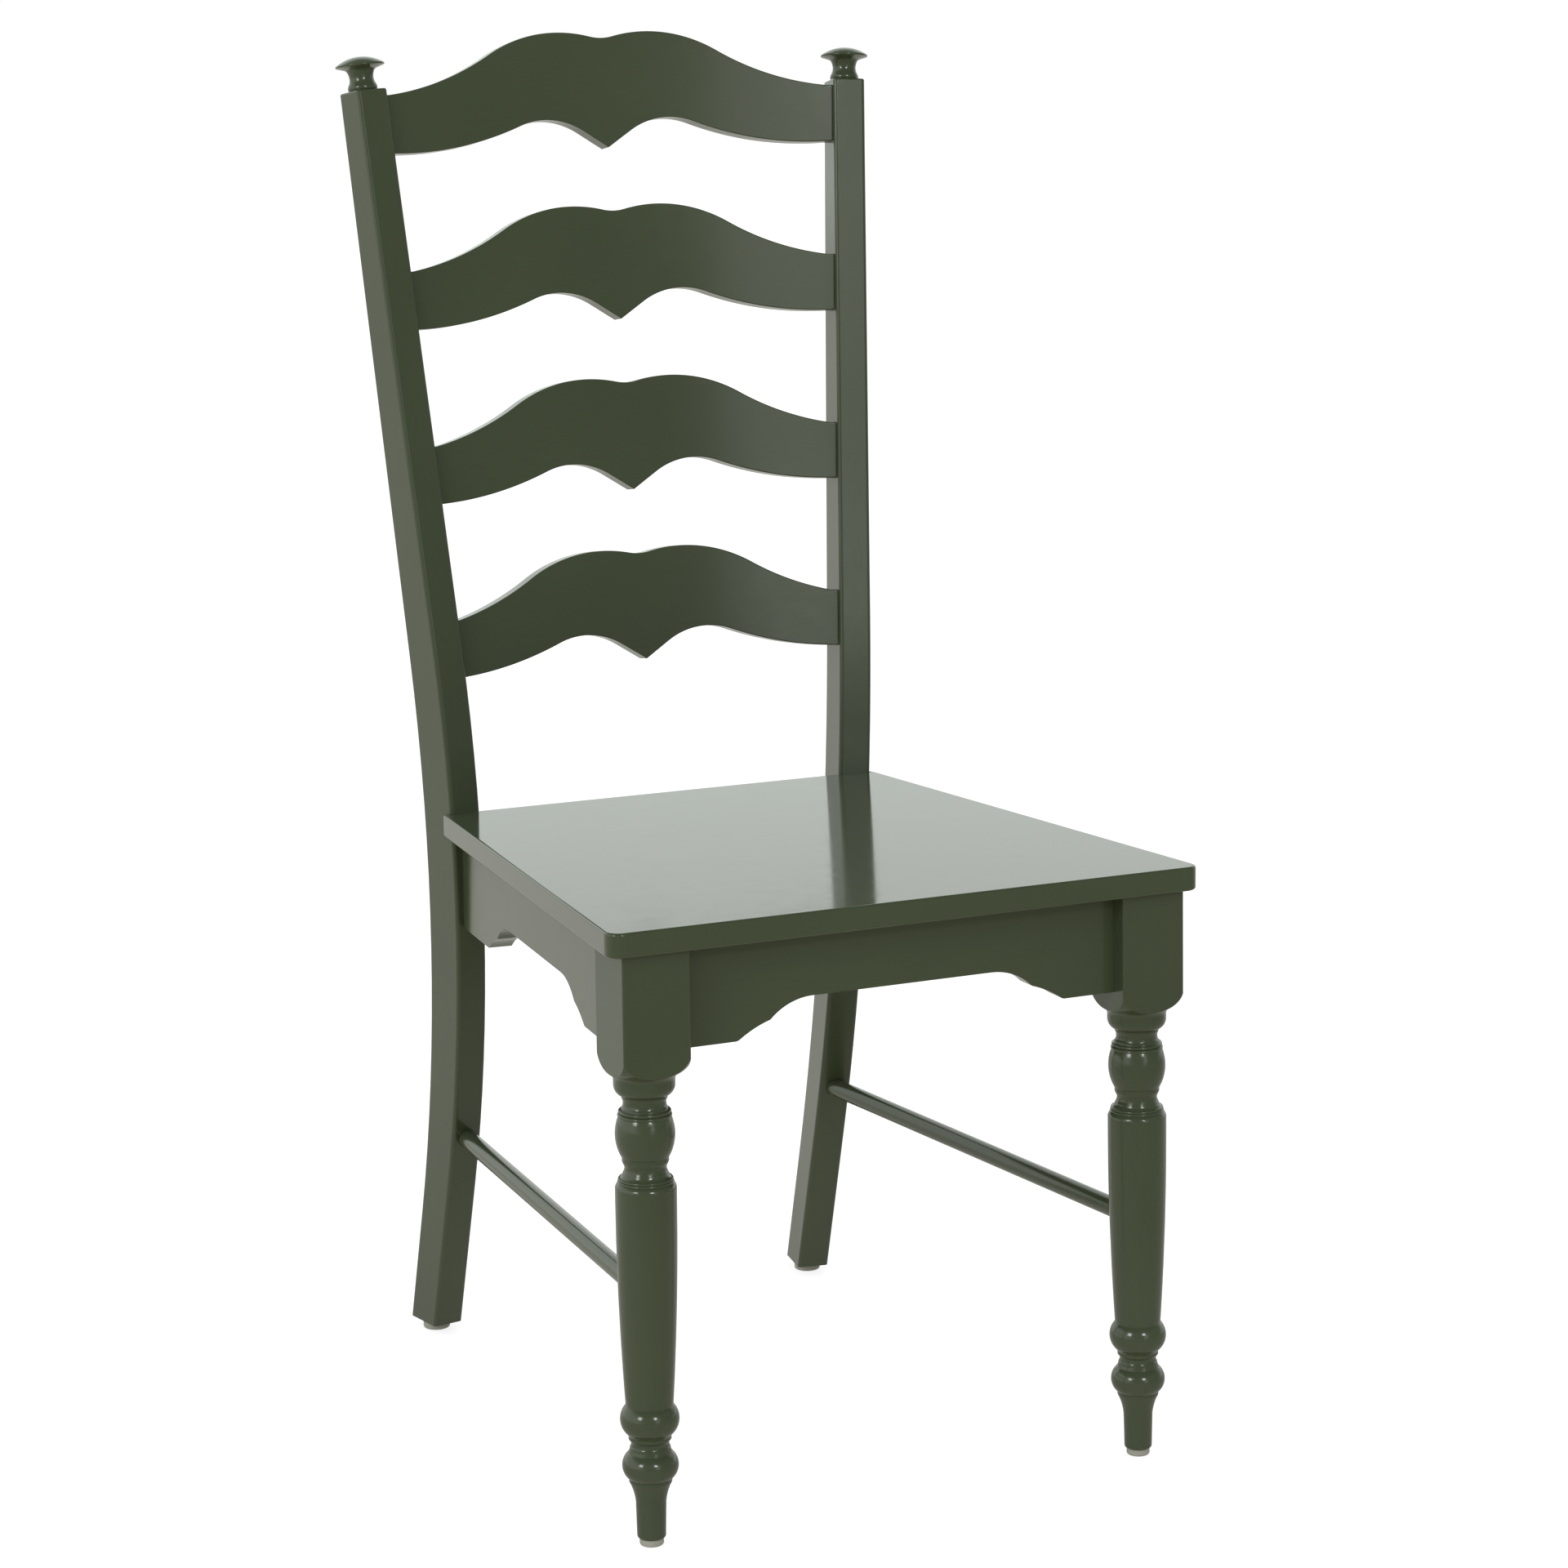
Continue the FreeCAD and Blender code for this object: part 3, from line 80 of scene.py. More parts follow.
class ChairPaintSettings(bpy.types.PropertyGroup):
    paint: FloatVectorProperty(
        name="Paint", description="Dark green satin paint",
        subtype="COLOR", size=3, min=0.0, max=1.0, default=(0.0365, 0.0480, 0.0262))
    roughness: FloatProperty(
        name="Roughness", description="Sheen of the paint",
        min=0.05, max=1.0, default=0.17, subtype="FACTOR")
    seat_roughness: FloatProperty(
        name="Seat roughness", description="Sheen of the smoother paint on the seat",
        min=0.03, max=1.0, default=0.10, subtype="FACTOR")
    seat_grain_share: FloatProperty(
        name="Seat grain", description="Share of the wood grain that the seat's paint leaves",
        min=0.0, max=1.0, default=0.25, subtype="FACTOR")
    seat_fall: FloatProperty(
        name="Seat fall", description="Slope of the seat's sheen towards its back edge",
        subtype="ANGLE", unit="ROTATION", default=math.radians(1.6))
    grain_depth: FloatProperty(
        name="Grain depth", description="Wood grain that shows through the paint",
        min=0.0, max=0.0005, default=0.000008, unit="LENGTH", precision=6)
    skin_depth: FloatProperty(
        name="Skin depth", description="Faint unevenness of the sprayed paint",
        min=0.0, max=0.0005, default=0.000002, unit="LENGTH", precision=6)
    slat_ease: FloatProperty(
        name="Slat edges", description="Rounding of the slats' long edges",
        min=0.0002, max=0.005, default=0.0009, unit="LENGTH", precision=4)


class ChairTrimSettings(bpy.types.PropertyGroup):
    glide: FloatVectorProperty(
        name="Glides", description="Pale plastic of the glides",
        subtype="COLOR", size=3, min=0.0, max=1.0, default=(0.26, 0.262, 0.243))
    bare_wood: FloatVectorProperty(
        name="Bare wood", description="Unpainted corner blocks and dowels",
        subtype="COLOR", size=3, min=0.0, max=1.0, default=(0.52, 0.34, 0.18))
    bare_wood_dark: FloatVectorProperty(
        name="Bare wood grain", description="Darker grain of the unpainted wood",
        subtype="COLOR", size=3, min=0.0, max=1.0, default=(0.33, 0.19, 0.085))
    block_ease: FloatProperty(
        name="Block edges", description="Rounding of the corner blocks' edges",
        min=0.0, max=0.004, default=0.0006, unit="LENGTH", precision=4)
    zinc: FloatVectorProperty(
        name="Zinc", description="Zinc plated screws and nails",
        subtype="COLOR", size=3, min=0.0, max=1.0, default=(0.60, 0.59, 0.56))


class ChairStageSettings(bpy.types.PropertyGroup):
    camera_place: FloatVectorProperty(
        name="Camera place",
        description="Camera from the middle of the seat's back edge, at the floor",
        subtype="TRANSLATION", unit="LENGTH", size=3,
        default=(-1.22958, -2.90634, 1.06919))
    camera_turn: FloatProperty(
        name="Camera direction", description="Turned from looking straight at the chair's front",
        subtype="ANGLE", unit="ROTATION", default=math.radians(-24.722))
    camera_tilt: FloatProperty(
        name="Camera tilt", description="Looking down",
        subtype="ANGLE", unit="ROTATION", default=math.radians(10.897))
    camera_roll: FloatProperty(
        name="Camera roll", description="Leaning of the picture",
        subtype="ANGLE", unit="ROTATION", default=math.radians(-0.876))
    lens: FloatProperty(
        name="Lens", description="Focal length in millimetres on a 36 mm sensor",
        min=10.0, default=SENSOR * FOCAL_PIXELS / FRAME_PIXELS)
    room_light: FloatProperty(
        name="Room light", description="Strength of the white surround that lights the chair",
        min=0.0, max=2.0, default=1.18)
    dim_direction: FloatProperty(
        name="Dim direction", description="Middle of the dim part of the room, from the front",
        subtype="ANGLE", unit="ROTATION", default=math.radians(40.0))
    front_shade: FloatProperty(
        name="Front shade", description="Brightness of the room in front of the chair",
        min=0.0, max=1.0, default=0.2, subtype="FACTOR")
    dim_mirrored: FloatProperty(
        name="Dim mirrored direction", description="Middle of the dim ceiling that gloss mirrors",
        subtype="ANGLE", unit="ROTATION", default=math.radians(15.0))
    dim_height: FloatProperty(
        name="Dim mirrored height", description="Lift of the dim ceiling that gloss mirrors",
        subtype="ANGLE", unit="ROTATION", default=math.radians(45.0))
    mirrored_shade: FloatProperty(
        name="Mirrored shade", description="Brightness of the dim ceiling that gloss mirrors",
        min=0.0, max=1.0, default=0.19, subtype="FACTOR")
    mirrored_tint: FloatVectorProperty(
        name="Mirrored tint", description="Faint tint of the surround that gloss mirrors",
        subtype="COLOR", size=3, min=0.0, max=1.0, default=(0.94, 1.0, 0.95))
    # Front and back floor: strength of a glow that only glossy rays see, a painted reflection.
    front_floor_reflection: FloatProperty(
        name="Front floor", description="Brightness of the floor in front, as it is mirrored",
        min=0.0, max=1.5, default=0.30)
    back_floor_reflection: FloatProperty(
        name="Back floor", description="Brightness of the floor behind, as it is mirrored",
        min=0.0, max=1.5, default=0.78)
    floor_bounce: FloatVectorProperty(
        name="Floor bounce", description="Warm tint of the light that the floor throws back",
        subtype="COLOR", size=3, min=0.0, max=1.0, default=(0.85, 0.79, 0.58))
    softbox_left: FloatProperty(
        name="Left softbox", description="Power of the soft light at the left",
        min=0.0, default=130.0, unit="POWER")
    softbox_right: FloatProperty(
        name="Right softbox", description="Power of the smaller, higher soft light in front",
        min=0.0, default=112.0, unit="POWER")
    tall_panel: FloatProperty(
        name="Tall panel", description="Power of the tall dim panel on the right",
        min=0.0, default=14.0, unit="POWER")
    low_panel: FloatProperty(
        name="Low panel", description="Power of the wide dim panel low in front",
        min=0.0, default=9.0, unit="POWER")
    floor_shadow: FloatProperty(
        name="Floor shadow", description="How much of the floor's white comes from the lights",
        min=0.0, max=1.0, default=0.3, subtype="FACTOR")


# Materials


class NodePainter:
    """Adds and links the shader nodes of one material or world."""

    def __init__(self, owner):
        owner.use_nodes = True
        self.tree = owner.node_tree
        self.coordinates = self.add("ShaderNodeTexCoord")

    def add(self, kind, **values):
        node = self.tree.nodes.new(kind)
        for key, value in values.items():
            setattr(node, key, value)
        return node

    def link(self, source, target):
        self.tree.links.new(source, target)

    def fill(self, socket, value):
        """Link a socket to another one, or set its number, vector or colour."""
        if isinstance(value, bpy.types.NodeSocket):
            self.link(value, socket)
        elif socket.type == "RGBA":
            socket.default_value = (*value, 1.0)
        else:
            socket.default_value = value

    def stretched(self, scale):
        mapping = self.add("ShaderNodeMapping")
        mapping.inputs["Scale"].default_value = scale
        self.link(self.coordinates.outputs["Object"], mapping.inputs["Vector"])
        return mapping.outputs["Vector"]

    def noise(self, vector, scale, detail=3.0, roughness=0.5, distortion=0.0):
        node = self.add("ShaderNodeTexNoise")
        node.inputs["Scale"].default_value = scale
        node.inputs["Detail"].default_value = detail
        node.inputs["Roughness"].default_value = roughness
        node.inputs["Distortion"].default_value = distortion
        self.link(vector, node.inputs["Vector"])
        return node.outputs["Fac"]

    def ramp(self, factor, stops):
        node = self.add("ShaderNodeValToRGB")
        ramp = node.color_ramp
        while len(ramp.elements) < len(stops):
            ramp.elements.new(0.5)
        for element, (place, colour) in zip(ramp.elements, stops):
            element.position = place
            element.color = (*colour, 1.0)
        self.link(factor, node.inputs["Fac"])
        return node.outputs["Color"]

    def spread(self, factor, low, high, low_out, high_out, curve="LINEAR"):
        node = self.add("ShaderNodeMapRange", interpolation_type=curve)
        for key, value in (("Value", factor), ("From Min", low), ("From Max", high),
                           ("To Min", low_out), ("To Max", high_out)):
            self.fill(node.inputs[key], value)
        return node.outputs["Result"]

    def blend(self, factor, first, second):
        node = self.add("ShaderNodeMix", data_type="RGBA")
        for socket, value in ((node.inputs["Factor"], factor), (node.inputs[6], first),
                              (node.inputs[7], second)):
            self.fill(socket, value)
        return node.outputs[2]

    def math(self, operation, first, second):
        node = self.add("ShaderNodeMath", operation=operation)
        for socket, value in zip(node.inputs, (first, second)):
            self.fill(socket, value)
        return node.outputs["Value"]

    def bump(self, height, depth, strength=1.0, before=None):
        node = self.add("ShaderNodeBump")
        node.inputs["Strength"].default_value = strength
        node.inputs["Distance"].default_value = depth
        self.link(height, node.inputs["Height"])
        if before is not None:
            self.link(before, node.inputs["Normal"])
        return node.outputs["Normal"]


class MaterialPainter(NodePainter):
    """Paints a new material with the usual shader."""

    def __init__(self, name):
        self.material = bpy.data.materials.new(name)
        super().__init__(self.material)
        self.shader = self.tree.nodes["Principled BSDF"]

    def finish(self, **values):
        """Set or link the shader's sockets, named with _ for a space."""
        for key, value in values.items():
            self.fill(self.shader.inputs[key.replace("_", " ")], value)
        return self.material


GRAIN_ALONG = {"X": (0.06, 1.0, 1.0), "Y": (1.0, 0.06, 1.0), "Z": (1.0, 1.0, 0.06)}
PAINT_IOR = 1.5
# how often each pattern repeats, per metre or so
GRAIN_SCALE, PORE_SCALE, TIMBER_PORE_SCALE, RING_SCALE = 520.0, 1300.0, 900.0, 60.0
COAT_SCALE, HANDLING_SCALE, SKIN_SCALE = 5.0, 55.0, 300.0
SCUFF_SCALE, DUST_SCALE, BLOTCH_SCALE = 600.0, 90.0, 450.0
TIMBER_PORE_DEPTH, SCUFF_DEPTH = 0.00015, 0.00005


def shaded(colour, share):
    return tuple(channel * share for channel in colour)


def satin_paint(name, along, colour, roughness, settings, grain_share=1.0, fall=0.0):
    """Satin paint over wood whose grain runs along one axis."""
    painter = MaterialPainter(name)
    lengthwise = painter.stretched(GRAIN_ALONG[along])
    everywhere = painter.coordinates.outputs["Object"]
    grain = painter.noise(lengthwise, GRAIN_SCALE, 2.0, 0.4, 0.2)
    pores = painter.noise(lengthwise, PORE_SCALE, 1.0, 0.4)
    coat = painter.noise(everywhere, COAT_SCALE, 2.0)
    handling = painter.noise(everywhere, HANDLING_SCALE, 3.0, 0.55)
    skin = painter.noise(everywhere, SKIN_SCALE, 1.0, 0.4)

    dark, light = shaded(colour, 0.92), shaded(colour, 1.08)
    body = painter.ramp(coat, ((0.3, dark), (0.5, colour), (0.7, light)))
    streaks = painter.spread(grain, 0.5, 0.75, 0.0, 0.35 * grain_share)

    sheen = painter.spread(grain, 0.3, 0.7, -0.012, 0.016)
    patches = painter.spread(handling, 0.35, 0.7, -0.012, 0.02)
    gloss = painter.math("ADD", painter.math("ADD", sheen, patches), roughness)

    open_pores = painter.spread(pores, 0.62, 0.75, 0.0, -1.0)
    relief = painter.math("ADD", grain, open_pores)
    level = None
    if fall:
        place = painter.add("ShaderNodeSeparateXYZ")
        painter.link(everywhere, place.inputs[0])
        level = painter.bump(painter.spread(place.outputs["Y"], -1.0, 1.0, 1.0, -1.0),
                             math.tan(fall))
    lifted = painter.bump(relief, settings.grain_depth * grain_share, before=level)
    return painter.finish(Base_Color=painter.blend(streaks, body, dark), Roughness=gloss,
                          IOR=PAINT_IOR,
                          Normal=painter.bump(skin, settings.skin_depth, before=lifted))


def bare_timber(name, along, light, dark):
    """Unpainted wood with growth rings and fine pores."""
    painter = MaterialPainter(name)
    lengthwise = painter.stretched(GRAIN_ALONG[along])
    rings = painter.add("ShaderNodeTexWave", wave_type="BANDS", bands_direction="DIAGONAL")
    for key, value in (("Vector", lengthwise), ("Scale", RING_SCALE), ("Distortion", 5.0),
                       ("Detail", 3.0)):
        painter.fill(rings.inputs[key], value)
    pores = painter.noise(lengthwise, TIMBER_PORE_SCALE, 4.0, 0.6)
    wood = painter.ramp(rings.outputs["Fac"], ((0.2, dark), (0.75, light)))
    return painter.finish(
        Base_Color=painter.blend(painter.spread(pores, 0.5, 0.75, 0.0, 0.5), wood, dark),
        Roughness=painter.spread(pores, 0.3, 0.7, 0.55, 0.72),
        Normal=painter.bump(pores, TIMBER_PORE_DEPTH, 0.6))


def moulded_plastic(name, colour):
    """Pale moulded plastic, dulled where it drags on the floor."""
    painter = MaterialPainter(name)
    everywhere = painter.coordinates.outputs["Object"]
    scuffs = painter.noise(everywhere, SCUFF_SCALE, 3.0, 0.6, 0.5)
    dust = painter.spread(painter.noise(everywhere, DUST_SCALE, 3.0, 0.55), 0.45, 0.75, 0.0, 0.7)
    return painter.finish(Base_Color=painter.blend(dust, colour, shaded(colour, 0.82)),
                          Roughness=painter.spread(scuffs, 0.3, 0.7, 0.38, 0.6),
                          Normal=painter.bump(scuffs, SCUFF_DEPTH, 0.5))


def zinc_plate(name, colour):
    """Dull zinc plating."""
    painter = MaterialPainter(name)
    blotch = painter.noise(painter.coordinates.outputs["Object"], BLOTCH_SCALE, 4.0, 0.6)
    dullness = painter.spread(blotch, 0.4, 0.7, 0.0, 1.0)
    return painter.finish(Base_Color=painter.blend(dullness, colour, shaded(colour, 0.8)),
                          Roughness=painter.spread(blotch, 0.3, 0.7, 0.3, 0.5), Metallic=1.0)


# Finishing a piece


SHARP_ANGLE = math.radians(32.0)
EASED_ANGLE = math.radians(35.0)
WELD_REACH = 0.00002


def dress(nodes, material):
    """Give pieces of the frame a material; round faces look round and corners stay crisp."""
    for node in nodes:
        data = NODES[node].data
        data.materials.clear()
        data.materials.append(material)
        data.shade_smooth()
        data.set_sharp_from_angle(angle=SHARP_ANGLE)


def ease_edges(node, width):
    """Join the faces of a piece and round its sharp edges."""
    piece = NODES[node]
    weld = piece.modifiers.new("joined corners", "WELD")
    weld.merge_threshold = WELD_REACH
    bevel = piece.modifiers.new("eased edges", "BEVEL")
    bevel.width = width
    bevel.segments = 2
    bevel.limit_method = "ANGLE"
    bevel.angle_limit = EASED_ANGLE
    bevel.miter_outer = "MITER_ARC"
    bevel.harden_normals = True


def paint_pieces(nodes, along, settings, roughness=None, grain_share=1.0, fall=0.0):
    """Paint pieces of the frame whose grain runs along one axis."""
    dress(nodes, satin_paint("satin_green_" + nodes[0], along, tuple(settings.paint),
                             settings.roughness if roughness is None else roughness,
                             settings, grain_share, fall))


# Back slats, each a bowed board whose edges follow circles in its front view.
# Their sizes and places are the frame's, in metres and degrees.

SLAT_THICKNESS = 0.0165
SLAT_HALF_END = 0.0227
SLAT_TENON = 0.0065
SLAT_END_FLAT = 0.002
SLAT_TILT = 7.46682
CREST_RISE, CREST_RISE_STEP = 0.0484, 0.0008
CREST_SPREAD, CREST_SPREAD_STEP = 0.038, 0.0011
CREST_RADIUS, CREST_DIP_RADIUS, TOP_HOLLOW_RADIUS = 0.117, 0.040, 0.235
PENDANT_RISE, ARCH_RISE, ARCH_SPREAD = 0.0018, 0.0246, 0.053
ARCH_RADIUS, BOTTOM_HOLLOW_RADIUS = 0.060, 0.290
# How finely a slat is divided: columns from its middle to an end, parts of a tall face, of a
# narrow one and of an eased edge, and the narrow steps beside the ends and the eased edges.
SLAT_COLUMNS, FACE_PARTS, EDGE_PARTS, ROUND_PARTS = 90, 8, 3, 4
END_GUARD, EASE_GUARD_SHARE = 0.0006, 0.35
SLOPE_STEP = 0.0002
# Height and depth of the middle of the ends, half the opening, radius of the bow, half its chord
SLATS = (
    (0.994600, 0.2285666, 0.1915565, 0.9840844, 0.2046027),
    (0.858400, 0.2107158, 0.1829218, 0.9425536, 0.1959679),
    (0.722200, 0.1928649, 0.1742870, 0.9010229, 0.1873332),
    (0.586000, 0.1750147, 0.1656524, 0.8594926, 0.1786986),
)


def hollow_circle(centre, radius, point, hollow_radius):
    """Centre of the circle through a point that touches another one from outside."""
    chord = point - centre
    reach = radius + hollow_radius
    along = (chord.length ** 2 + reach ** 2 - hollow_radius ** 2) / (2 * chord.length)
    direction = chord.normalized()
    upward = Vector((-direction.y, direction.x))
    return centre + direction * along + upward * math.sqrt(reach ** 2 - along ** 2)


def bulging(centre, radius, across):
    return centre.y + math.sqrt(radius ** 2 - (across - centre.x) ** 2)


def hollowed(centre, radius, across):
    return centre.y - math.sqrt(radius ** 2 - (across - centre.x) ** 2)


def slat_edges(index, shoulder):
    """The slat's upper and lower edge as heights over the distance from its middle."""
    crest = Vector((CREST_SPREAD - index * CREST_SPREAD_STEP,
                    SLAT_HALF_END + CREST_RISE - index * CREST_RISE_STEP - CREST_RADIUS))
    sweep = hollow_circle(crest, CREST_RADIUS, Vector((shoulder, SLAT_HALF_END)),
                          TOP_HOLLOW_RADIUS)
    crest_end = (crest + (sweep - crest).normalized() * CREST_RADIUS).x
    dip_reach = CREST_RADIUS + CREST_DIP_RADIUS
    dip = Vector((0.0, crest.y + math.sqrt(dip_reach ** 2 - crest.x ** 2)))
    dip_end = crest.x * CREST_DIP_RADIUS / dip_reach

    def upper(across):
        across = abs(across)
        if across < dip_end:
            return hollowed(dip, CREST_DIP_RADIUS, across)
        if across < crest_end:
            return bulging(crest, CREST_RADIUS, across)
        return hollowed(sweep, TOP_HOLLOW_RADIUS, across) if across < shoulder else SLAT_HALF_END

    pendant = Vector((0.0, PENDANT_RISE - SLAT_HALF_END))
    arch = Vector((ARCH_SPREAD, ARCH_RISE - SLAT_HALF_END - ARCH_RADIUS))
    run = arch - pendant
    slope = math.tan(math.atan2(run.y, run.x) + math.asin(ARCH_RADIUS / run.length))
    flank = math.sqrt(run.length_squared - ARCH_RADIUS ** 2)
    flank_end = flank / math.sqrt(1 + slope ** 2)
    flare = hollow_circle(arch, ARCH_RADIUS, Vector((shoulder, -SLAT_HALF_END)),
                          BOTTOM_HOLLOW_RADIUS)
    arch_end = (arch + (flare - arch).normalized() * ARCH_RADIUS).x

    def lower(across):
        across = abs(across)
        if across < flank_end:
            return pendant.y + slope * across
        if across < arch_end:
            return bulging(arch, ARCH_RADIUS, across)
        if across < shoulder:
            return hollowed(flare, BOTTOM_HOLLOW_RADIUS, across)
        return -SLAT_HALF_END

    return upper, lower


def spaced(low, high, parts, guard):
    """Even steps from low to high with a narrow one beside each end."""
    inner = [low + guard + (high - low - 2 * guard) * part / parts for part in range(parts + 1)]
    return [low] + inner + [high]


def slat_ring(top, bottom, top_slope, bottom_slope, front, back, ease):
    """One cross-section of the slat: (depth, height) points once round it."""
    high = ease * math.hypot(1.0, top_slope)
    low = ease * math.hypot(1.0, bottom_slope)
    guard = ease * EASE_GUARD_SHARE
    turns = [math.pi / 2 * part / ROUND_PARTS for part in range(1, ROUND_PARTS)]
    rounds = [(1 - math.sin(turn), 1 - math.cos(turn)) for turn in turns]
    rising = spaced(bottom + low, top - high, FACE_PARTS, guard)
    crossing = spaced(front + ease, back - ease, EDGE_PARTS, guard)
    ring = [(front, height) for height in rising]
    ring += [(front + ease * near, top - high * far) for far, near in rounds]
    ring += [(depth, top) for depth in crossing]
    ring += [(back - ease * far, top - high * near) for far, near in rounds]
    ring += [(back, height) for height in reversed(rising)]
    ring += [(back - ease * near, bottom + low * far) for far, near in rounds]
    ring += [(depth, bottom) for depth in reversed(crossing)]
    ring += [(front + ease * far, bottom + low * near) for far, near in rounds]
    return ring


def slat_piece(index, ease):
    """The mesh of one slat, bowed and leant back into its place."""
    level, set_back, opening, bow, chord = SLATS[index]
    upper, lower = slat_edges(index, opening - SLAT_END_FLAT)
    centre = -math.sqrt(bow ** 2 - chord ** 2)
    half = spaced(0.0, opening + SLAT_TENON, SLAT_COLUMNS, END_GUARD)
    mesh = bmesh.new()
    rings = []
    for across in [-across for across in reversed(half[1:])] + half:
        outwards = across + math.copysign(SLOPE_STEP, across)
        top, bottom = upper(across), lower(across)
        front = centre + math.sqrt(bow ** 2 - across ** 2)
        back = centre + math.sqrt((bow + SLAT_THICKNESS) ** 2 - across ** 2)
        rings.append([mesh.verts.new((across, depth, height)) for depth, height in
                      slat_ring(top, bottom, (upper(outwards) - top) / SLOPE_STEP,
                                (lower(outwards) - bottom) / SLOPE_STEP, front, back, ease)])
    for ring, following in zip(rings, rings[1:]):
        for corner in range(len(ring)):
            mesh.faces.new((ring[corner - 1], following[corner - 1], following[corner],
                            ring[corner]))
    mesh.faces.new(rings[0])
    mesh.faces.new(reversed(rings[-1]))
    mesh.transform(Matrix.Translation((0.0, set_back, level))
                   @ Matrix.Rotation(math.radians(-SLAT_TILT), 4, "X"))
    bmesh.ops.recalc_face_normals(mesh, faces=mesh.faces)
    data = bpy.data.meshes.new("slat_board_%d" % (index + 1))
    mesh.to_mesh(data)
    mesh.free()
    data.shade_smooth()
    return data


class CHAIR_OT_paint_back_posts(bpy.types.Operator):
    """Paint the two curved back posts"""

    bl_idname = "chair.paint_back_posts"
    bl_label = "Paint Back Posts"

    def execute(self, context):
        paint_pieces(("back_post_left", "back_post_right"), "Z", context.scene.chair_paint)
        return {"FINISHED"}


class CHAIR_OT_paint_finials(bpy.types.Operator):
    """Paint the two turned finials"""

    bl_idname = "chair.paint_finials"
    bl_label = "Paint Finials"

    def execute(self, context):
        paint_pieces(("finial_left", "finial_right"), "Z", context.scene.chair_paint)
        return {"FINISHED"}


class CHAIR_OT_paint_slats(bpy.types.Operator):
    """Paint the four bowed and scalloped slats"""

    bl_idname = "chair.paint_slats"
    bl_label = "Paint Slats"

    def execute(self, context):
        settings = context.scene.chair_paint
        paint = satin_paint("satin_green_slats", "X", tuple(settings.paint),
                            settings.roughness, settings)
        for index in range(len(SLATS)):
            data = slat_piece(index, settings.slat_ease)
            data.materials.append(paint)
            board = bpy.data.objects.new(data.name, data)
            context.scene.collection.objects.link(board)
            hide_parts("slat_%d" % (index + 1))
            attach(board, "root")
        return {"FINISHED"}


class CHAIR_OT_paint_seat(bpy.types.Operator):
    """Paint the seat board"""

    bl_idname = "chair.paint_seat"
    bl_label = "Paint Seat"

    def execute(self, context):
        settings = context.scene.chair_paint
        paint_pieces(("seat_board",), "X", settings, settings.seat_roughness,
                     settings.seat_grain_share, settings.seat_fall)
        return {"FINISHED"}


class CHAIR_OT_paint_rails(bpy.types.Operator):
    """Paint the front, back and side rails"""

    bl_idname = "chair.paint_rails"
    bl_label = "Paint Rails"

    def execute(self, context):
        paint_pieces(("front_rail", "back_rail"), "X", context.scene.chair_paint)
        paint_pieces(("side_rail_left", "side_rail_right"), "Y", context.scene.chair_paint)
        return {"FINISHED"}


class CHAIR_OT_paint_front_legs(bpy.types.Operator):
    """Paint the two turned front legs"""

    bl_idname = "chair.paint_front_legs"
    bl_label = "Paint Front Legs"

    def execute(self, context):
        paint_pieces(("front_leg_left", "front_leg_right"), "Z", context.scene.chair_paint)
        return {"FINISHED"}


class CHAIR_OT_paint_stretchers(bpy.types.Operator):
    """Paint the two round side stretchers"""

    bl_idname = "chair.paint_stretchers"
    bl_label = "Paint Stretchers"

    def execute(self, context):
        paint_pieces(("side_stretcher_left", "side_stretcher_right"), "Y",
                     context.scene.chair_paint)
        return {"FINISHED"}


class CHAIR_OT_finish_glides(bpy.types.Operator):
    """Give the four glides their pale plastic"""

    bl_idname = "chair.finish_glides"
    bl_label = "Finish Glides"

    def execute(self, context):
        plastic = moulded_plastic("glide_plastic", tuple(context.scene.chair_trim.glide))
        dress(["glide_" + corner for corner in CORNERS], plastic)
        return {"FINISHED"}


class CHAIR_OT_finish_corner_blocks(bpy.types.Operator):
    """Leave the corner blocks and dowels in bare wood"""

    bl_idname = "chair.finish_corner_blocks"
    bl_label = "Finish Corner Blocks"

    def execute(self, context):
        trim = context.scene.chair_trim
        tones = tuple(trim.bare_wood), tuple(trim.bare_wood_dark)
        blocks = ["corner_block_" + corner for corner in CORNERS]
        dress(blocks, bare_timber("bare_block_wood", "X", *tones))
        for block in blocks:
            ease_edges(block, trim.block_ease)
        dress(["rail_dowels"], bare_timber("dowel_wood", "Y", *tones))
        return {"FINISHED"}


class CHAIR_OT_finish_hardware(bpy.types.Operator):
    """Give the screws and nails their zinc plating"""

    bl_idname = "chair.finish_hardware"
    bl_label = "Finish Hardware"

    def execute(self, context):
        dress(("corner_block_screws", "seat_screws", "glide_nails"),
              zinc_plate("zinc_plate", tuple(context.scene.chair_trim.zinc)))
        return {"FINISHED"}


# Stage

FLOOR_HALF = 30.0
FLOOR_DROP = 0.0002
# From here to there the floor's painted reflection goes from its front to its back brightness
FLOOR_BLEND = 0.9
# Share of the first tint in the floor's painted reflection, and what the seen floor shines by
# itself
FLOOR_PALENESS = 0.75
FLOOR_WHITE, FLOOR_WHITE_LIT = 1.02, 0.75
# How near to the middle of a dim part of the room its dimness starts and is full, as cosines
FRONT_DIM = (0.55, 0.97)
MIRRORED_DIM = (0.05, 0.6)
CEILING_DIM = (0.5, 0.75)

LIGHT_TARGET = Vector((0.0, -0.1, 0.3))
LIGHT_DISTANCE = 8.0
# Degrees from the chair's front and over the level, width and height in metres
SOFTBOXES = {
    "softbox_left": (-64.0, 25.0, 1.8, 1.8),
    "softbox_right": (0.0, 27.0, 1.1, 1.1),
    "tall_panel": (8.5, 14.5, 1.8, 2.4),
    "low_panel": (4.5, 3.0, 2.1, 2.2),
}


